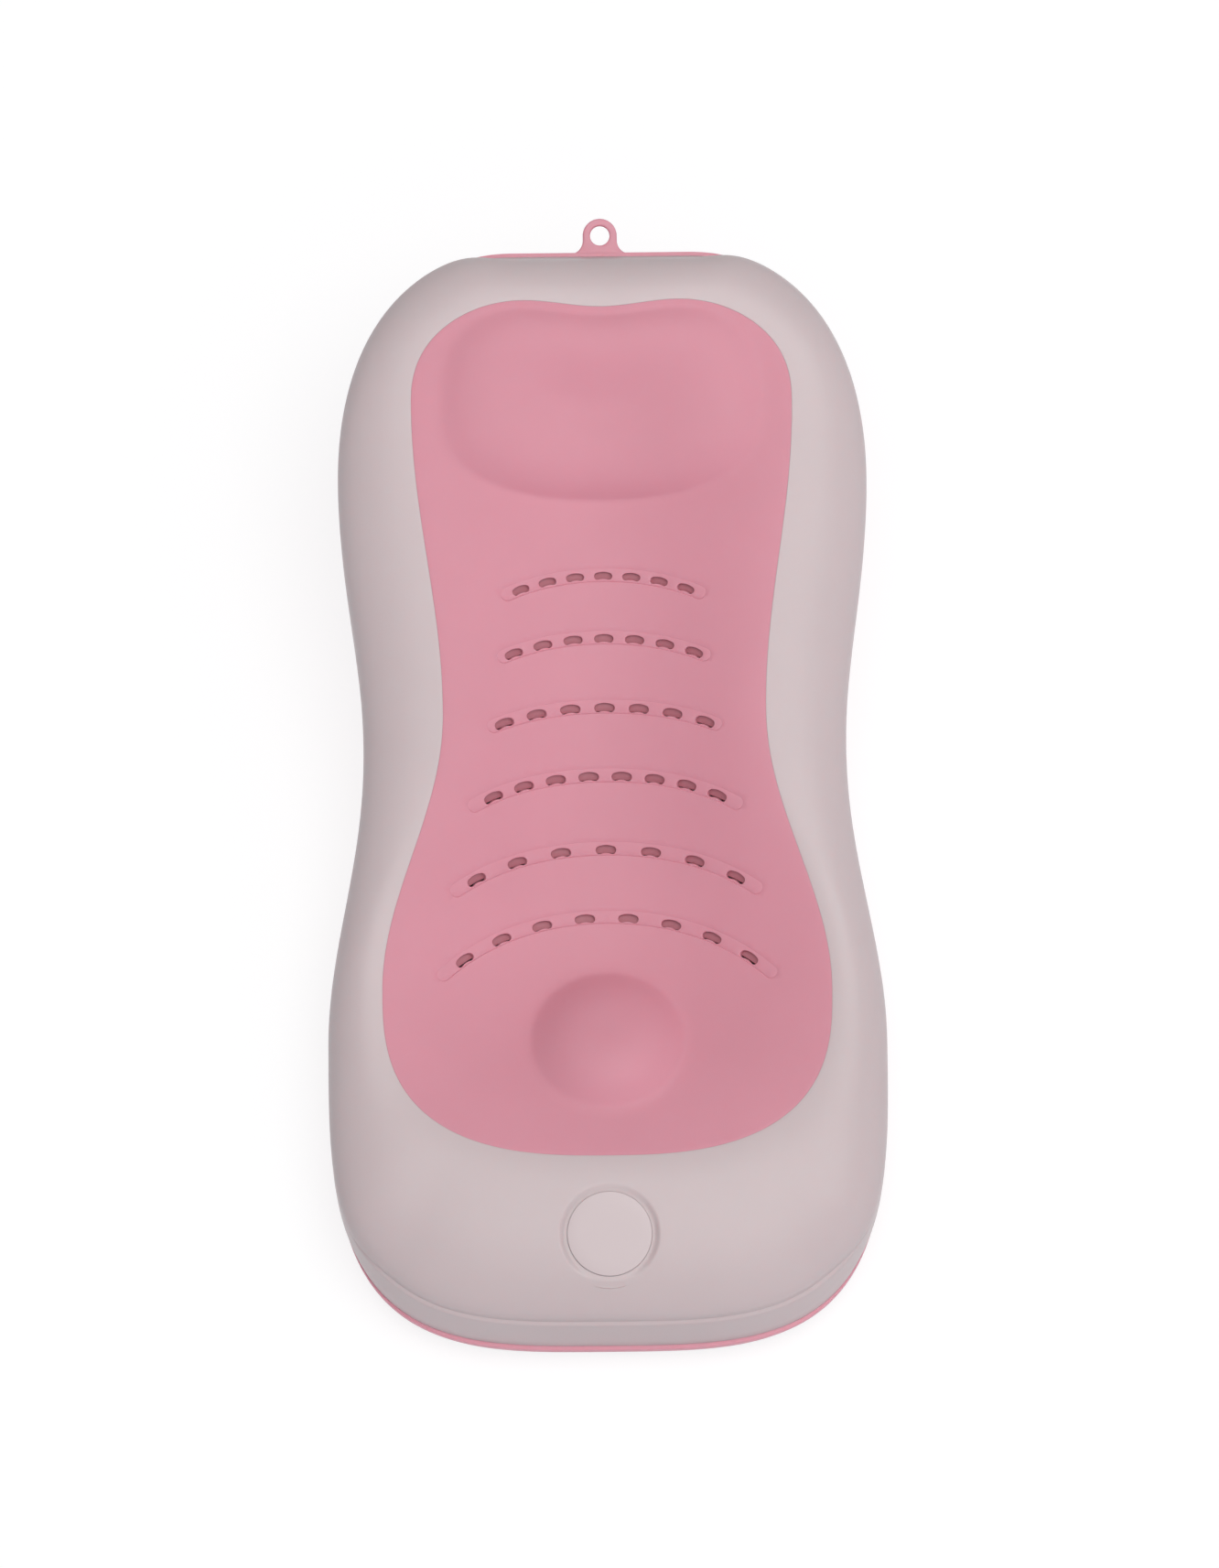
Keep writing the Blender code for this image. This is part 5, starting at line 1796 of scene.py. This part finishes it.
@dataclass
class Studio:
    """Pale floor, soft light and the photograph's camera."""

    form: BodyForm
    floor_half: float = 30.0
    shade_inset: float = 0.013
    floor_pale: float = 0.8
    floor_shown: float = 0.22
    floor_glow: float = 0.82
    shade_roughness: float = 0.9
    camera_rise: float = math.radians(72.5)
    camera_distance: float = 5.0
    camera_roll: float = math.radians(0.582)
    camera_target: tuple[float, float, float] = (0.0022, 0.00137, 0.062)
    focal_pixels: float = 10642.0
    picture_height: float = 1713.0
    sensor: float = 36.0
    far_end: float = 100.0
    sky_tint: tuple[float, float, float] = (0.97, 0.98, 1.04)
    sky_dim: float = 0.16
    sky_bright: float = 0.86
    sky_side: tuple[float, float, float] = (0.55, -0.835, 0.0)
    key_tint: tuple[float, float, float] = (1.0, 0.985, 0.96)
    key_power: float = 26.5
    key_size: float = 1.63
    key_place: tuple[float, float, float] = (0.32, -0.08, 2.4)

    def seen(self, nodes: bpy.types.Nodes, links: bpy.types.NodeLinks) -> bpy.types.NodeSocket:
        """Socket that is 1 for rays from the camera and for glossy and transmitted ones."""
        path = nodes.new("ShaderNodeLightPath")
        total = path.outputs["Is Camera Ray"]
        for name in ("Is Glossy Ray", "Is Transmission Ray"):
            larger = nodes.new("ShaderNodeMath")
            larger.operation = "MAXIMUM"
            links.new(total, larger.inputs[0])
            links.new(path.outputs[name], larger.inputs[1])
            total = larger.outputs[0]
        return total

    def floor(self) -> None:
        """White floor with a faint shadow, plain under the open base."""
        rays = self.form.rays
        hole = whole(rays.rim - rays.normal * self.shade_inset)
        ends = self.floor_half * np.array([(1, 1), (1, -1), (-1, -1), (-1, 1)])
        edges = [(i, (i + 1) % len(hole)) for i in range(len(hole))]
        points, faces, _ = triangulated(np.concatenate([hole, ends]), edges)
        under = inside(points[faces].mean(axis=1), hole)
        for name, part, finish in (
            ("floor", faces[~under], self.floor_finish()),
            ("floor_under_base", faces[under], self.shade_finish()),
        ):
            mesh = bpy.data.meshes.new(name)
            mesh.from_pydata(np.column_stack([points, np.zeros(len(points))]).tolist(), [], part.tolist())
            mesh.materials.append(finish)
            put(name, mesh)

    def floor_finish(self) -> bpy.types.Material:
        """Floor that shows white to the camera and keeps the shadow."""
        made = bpy.data.materials.new("studio_floor")
        made.use_nodes = True
        nodes, links = made.node_tree.nodes, made.node_tree.links
        nodes.clear()
        out = nodes.new("ShaderNodeOutputMaterial")
        mix, add = nodes.new("ShaderNodeMixShader"), nodes.new("ShaderNodeAddShader")
        pale, shown, glow = (
            nodes.new("ShaderNodeBsdfDiffuse"),
            nodes.new("ShaderNodeBsdfDiffuse"),
            nodes.new("ShaderNodeEmission"),
        )
        pale.inputs["Color"].default_value = (*[self.floor_pale] * 3, 1.0)
        shown.inputs["Color"].default_value = (*[self.floor_shown] * 3, 1.0)
        glow.inputs["Color"].default_value = (1.0, 1.0, 1.0, 1.0)
        glow.inputs["Strength"].default_value = self.floor_glow
        links.new(shown.outputs[0], add.inputs[0])
        links.new(glow.outputs[0], add.inputs[1])
        links.new(self.seen(nodes, links), mix.inputs[0])
        links.new(pale.outputs[0], mix.inputs[1])
        links.new(add.outputs[0], mix.inputs[2])
        links.new(mix.outputs[0], out.inputs[0])
        return made

    def shade_finish(self) -> bpy.types.Material:
        """Plain pale floor under the base."""
        made = bpy.data.materials.new("studio_floor_shade")
        made.use_nodes = True
        shader = made.node_tree.nodes["Principled BSDF"]
        shader.inputs["Base Color"].default_value = (*[self.floor_pale] * 3, 1.0)
        shader.inputs["Roughness"].default_value = self.shade_roughness
        return made

    def sky_light(self) -> None:
        """White backdrop for the camera and a dome of light, brighter towards the foot and the right."""
        world = bpy.data.worlds.new("studio")
        bpy.context.scene.world = world
        world.use_nodes = True
        nodes, links = world.node_tree.nodes, world.node_tree.links
        nodes.clear()
        out = nodes.new("ShaderNodeOutputWorld")
        mix = nodes.new("ShaderNodeMixShader")
        light, back = nodes.new("ShaderNodeBackground"), nodes.new("ShaderNodeBackground")
        light.inputs["Color"].default_value = (*self.sky_tint, 1.0)
        place, part, side = (
            nodes.new("ShaderNodeTexCoord"),
            nodes.new("ShaderNodeVectorMath"),
            nodes.new("ShaderNodeMapRange"),
        )
        part.operation = "DOT_PRODUCT"
        part.inputs[1].default_value = self.sky_side
        side.inputs["From Min"].default_value = -1.0
        side.inputs["From Max"].default_value = 1.0
        side.inputs["To Min"].default_value = self.sky_dim
        side.inputs["To Max"].default_value = self.sky_bright
        links.new(place.outputs["Generated"], part.inputs[0])
        links.new(part.outputs["Value"], side.inputs["Value"])
        links.new(side.outputs["Result"], light.inputs["Strength"])
        back.inputs["Color"].default_value = (1.0, 1.0, 1.0, 1.0)
        back.inputs["Strength"].default_value = 1.0
        links.new(self.seen(nodes, links), mix.inputs[0])
        links.new(light.outputs[0], mix.inputs[1])
        links.new(back.outputs[0], mix.inputs[2])
        links.new(mix.outputs[0], out.inputs[0])

    def key_light(self) -> None:
        """Large soft lamp overhead, a little to the right."""
        lamp = bpy.data.lights.new("key", "AREA")
        lamp.shape = "DISK"
        lamp.size = self.key_size
        lamp.energy = self.key_power
        lamp.color = self.key_tint
        holder = put("key", lamp)
        holder.location = self.key_place
        towards = Vector(self.camera_target) - Vector(self.key_place)
        holder.rotation_euler = towards.to_track_quat("-Z", "Y").to_euler()

    def camera(self) -> None:
        """Camera at the photograph's viewing angle."""
        data = bpy.data.cameras.new("camera")
        data.sensor_width = self.sensor
        data.lens = self.focal_pixels * self.sensor / self.picture_height
        data.clip_end = self.far_end
        holder = put("camera", data)
        back = Vector((0.0, -math.cos(self.camera_rise), math.sin(self.camera_rise)))
        turn = (-back).to_track_quat("-Z", "Y").to_matrix().to_4x4()
        roll = Matrix.Rotation(-self.camera_roll, 4, "Z")
        place = Vector(self.camera_target) + back * self.camera_distance
        holder.matrix_world = Matrix.Translation(place) @ turn @ roll
        bpy.context.scene.camera = holder

    def make(self) -> None:
        """Builds the studio."""
        self.floor()
        self.sky_light()
        self.key_light()
        self.camera()
        bpy.context.scene.view_settings.view_transform = "Standard"


def main() -> None:
    """Builds the support and its studio."""
    logging.basicConfig(level=logging.INFO, format="%(message)s")
    for leftover in list(bpy.data.objects):
        bpy.data.objects.remove(leftover, do_unlink=True)
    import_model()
    form = BodyForm()
    fixing, badge, plan = Fixing(form), BadgePlace(form), SlotPlan(form)
    RimShell(form, fixing, badge).make()
    SeatPad(form, plan).make()
    SeatDeck(form, fixing, plan).make()
    BaseCasing(form, fixing).make()
    BadgeDisc(badge).make()
    ScrewSet(form, fixing).make()
    FootSet(form, fixing).make()
    Studio(form).make()


if __name__ == "__main__":
    main()
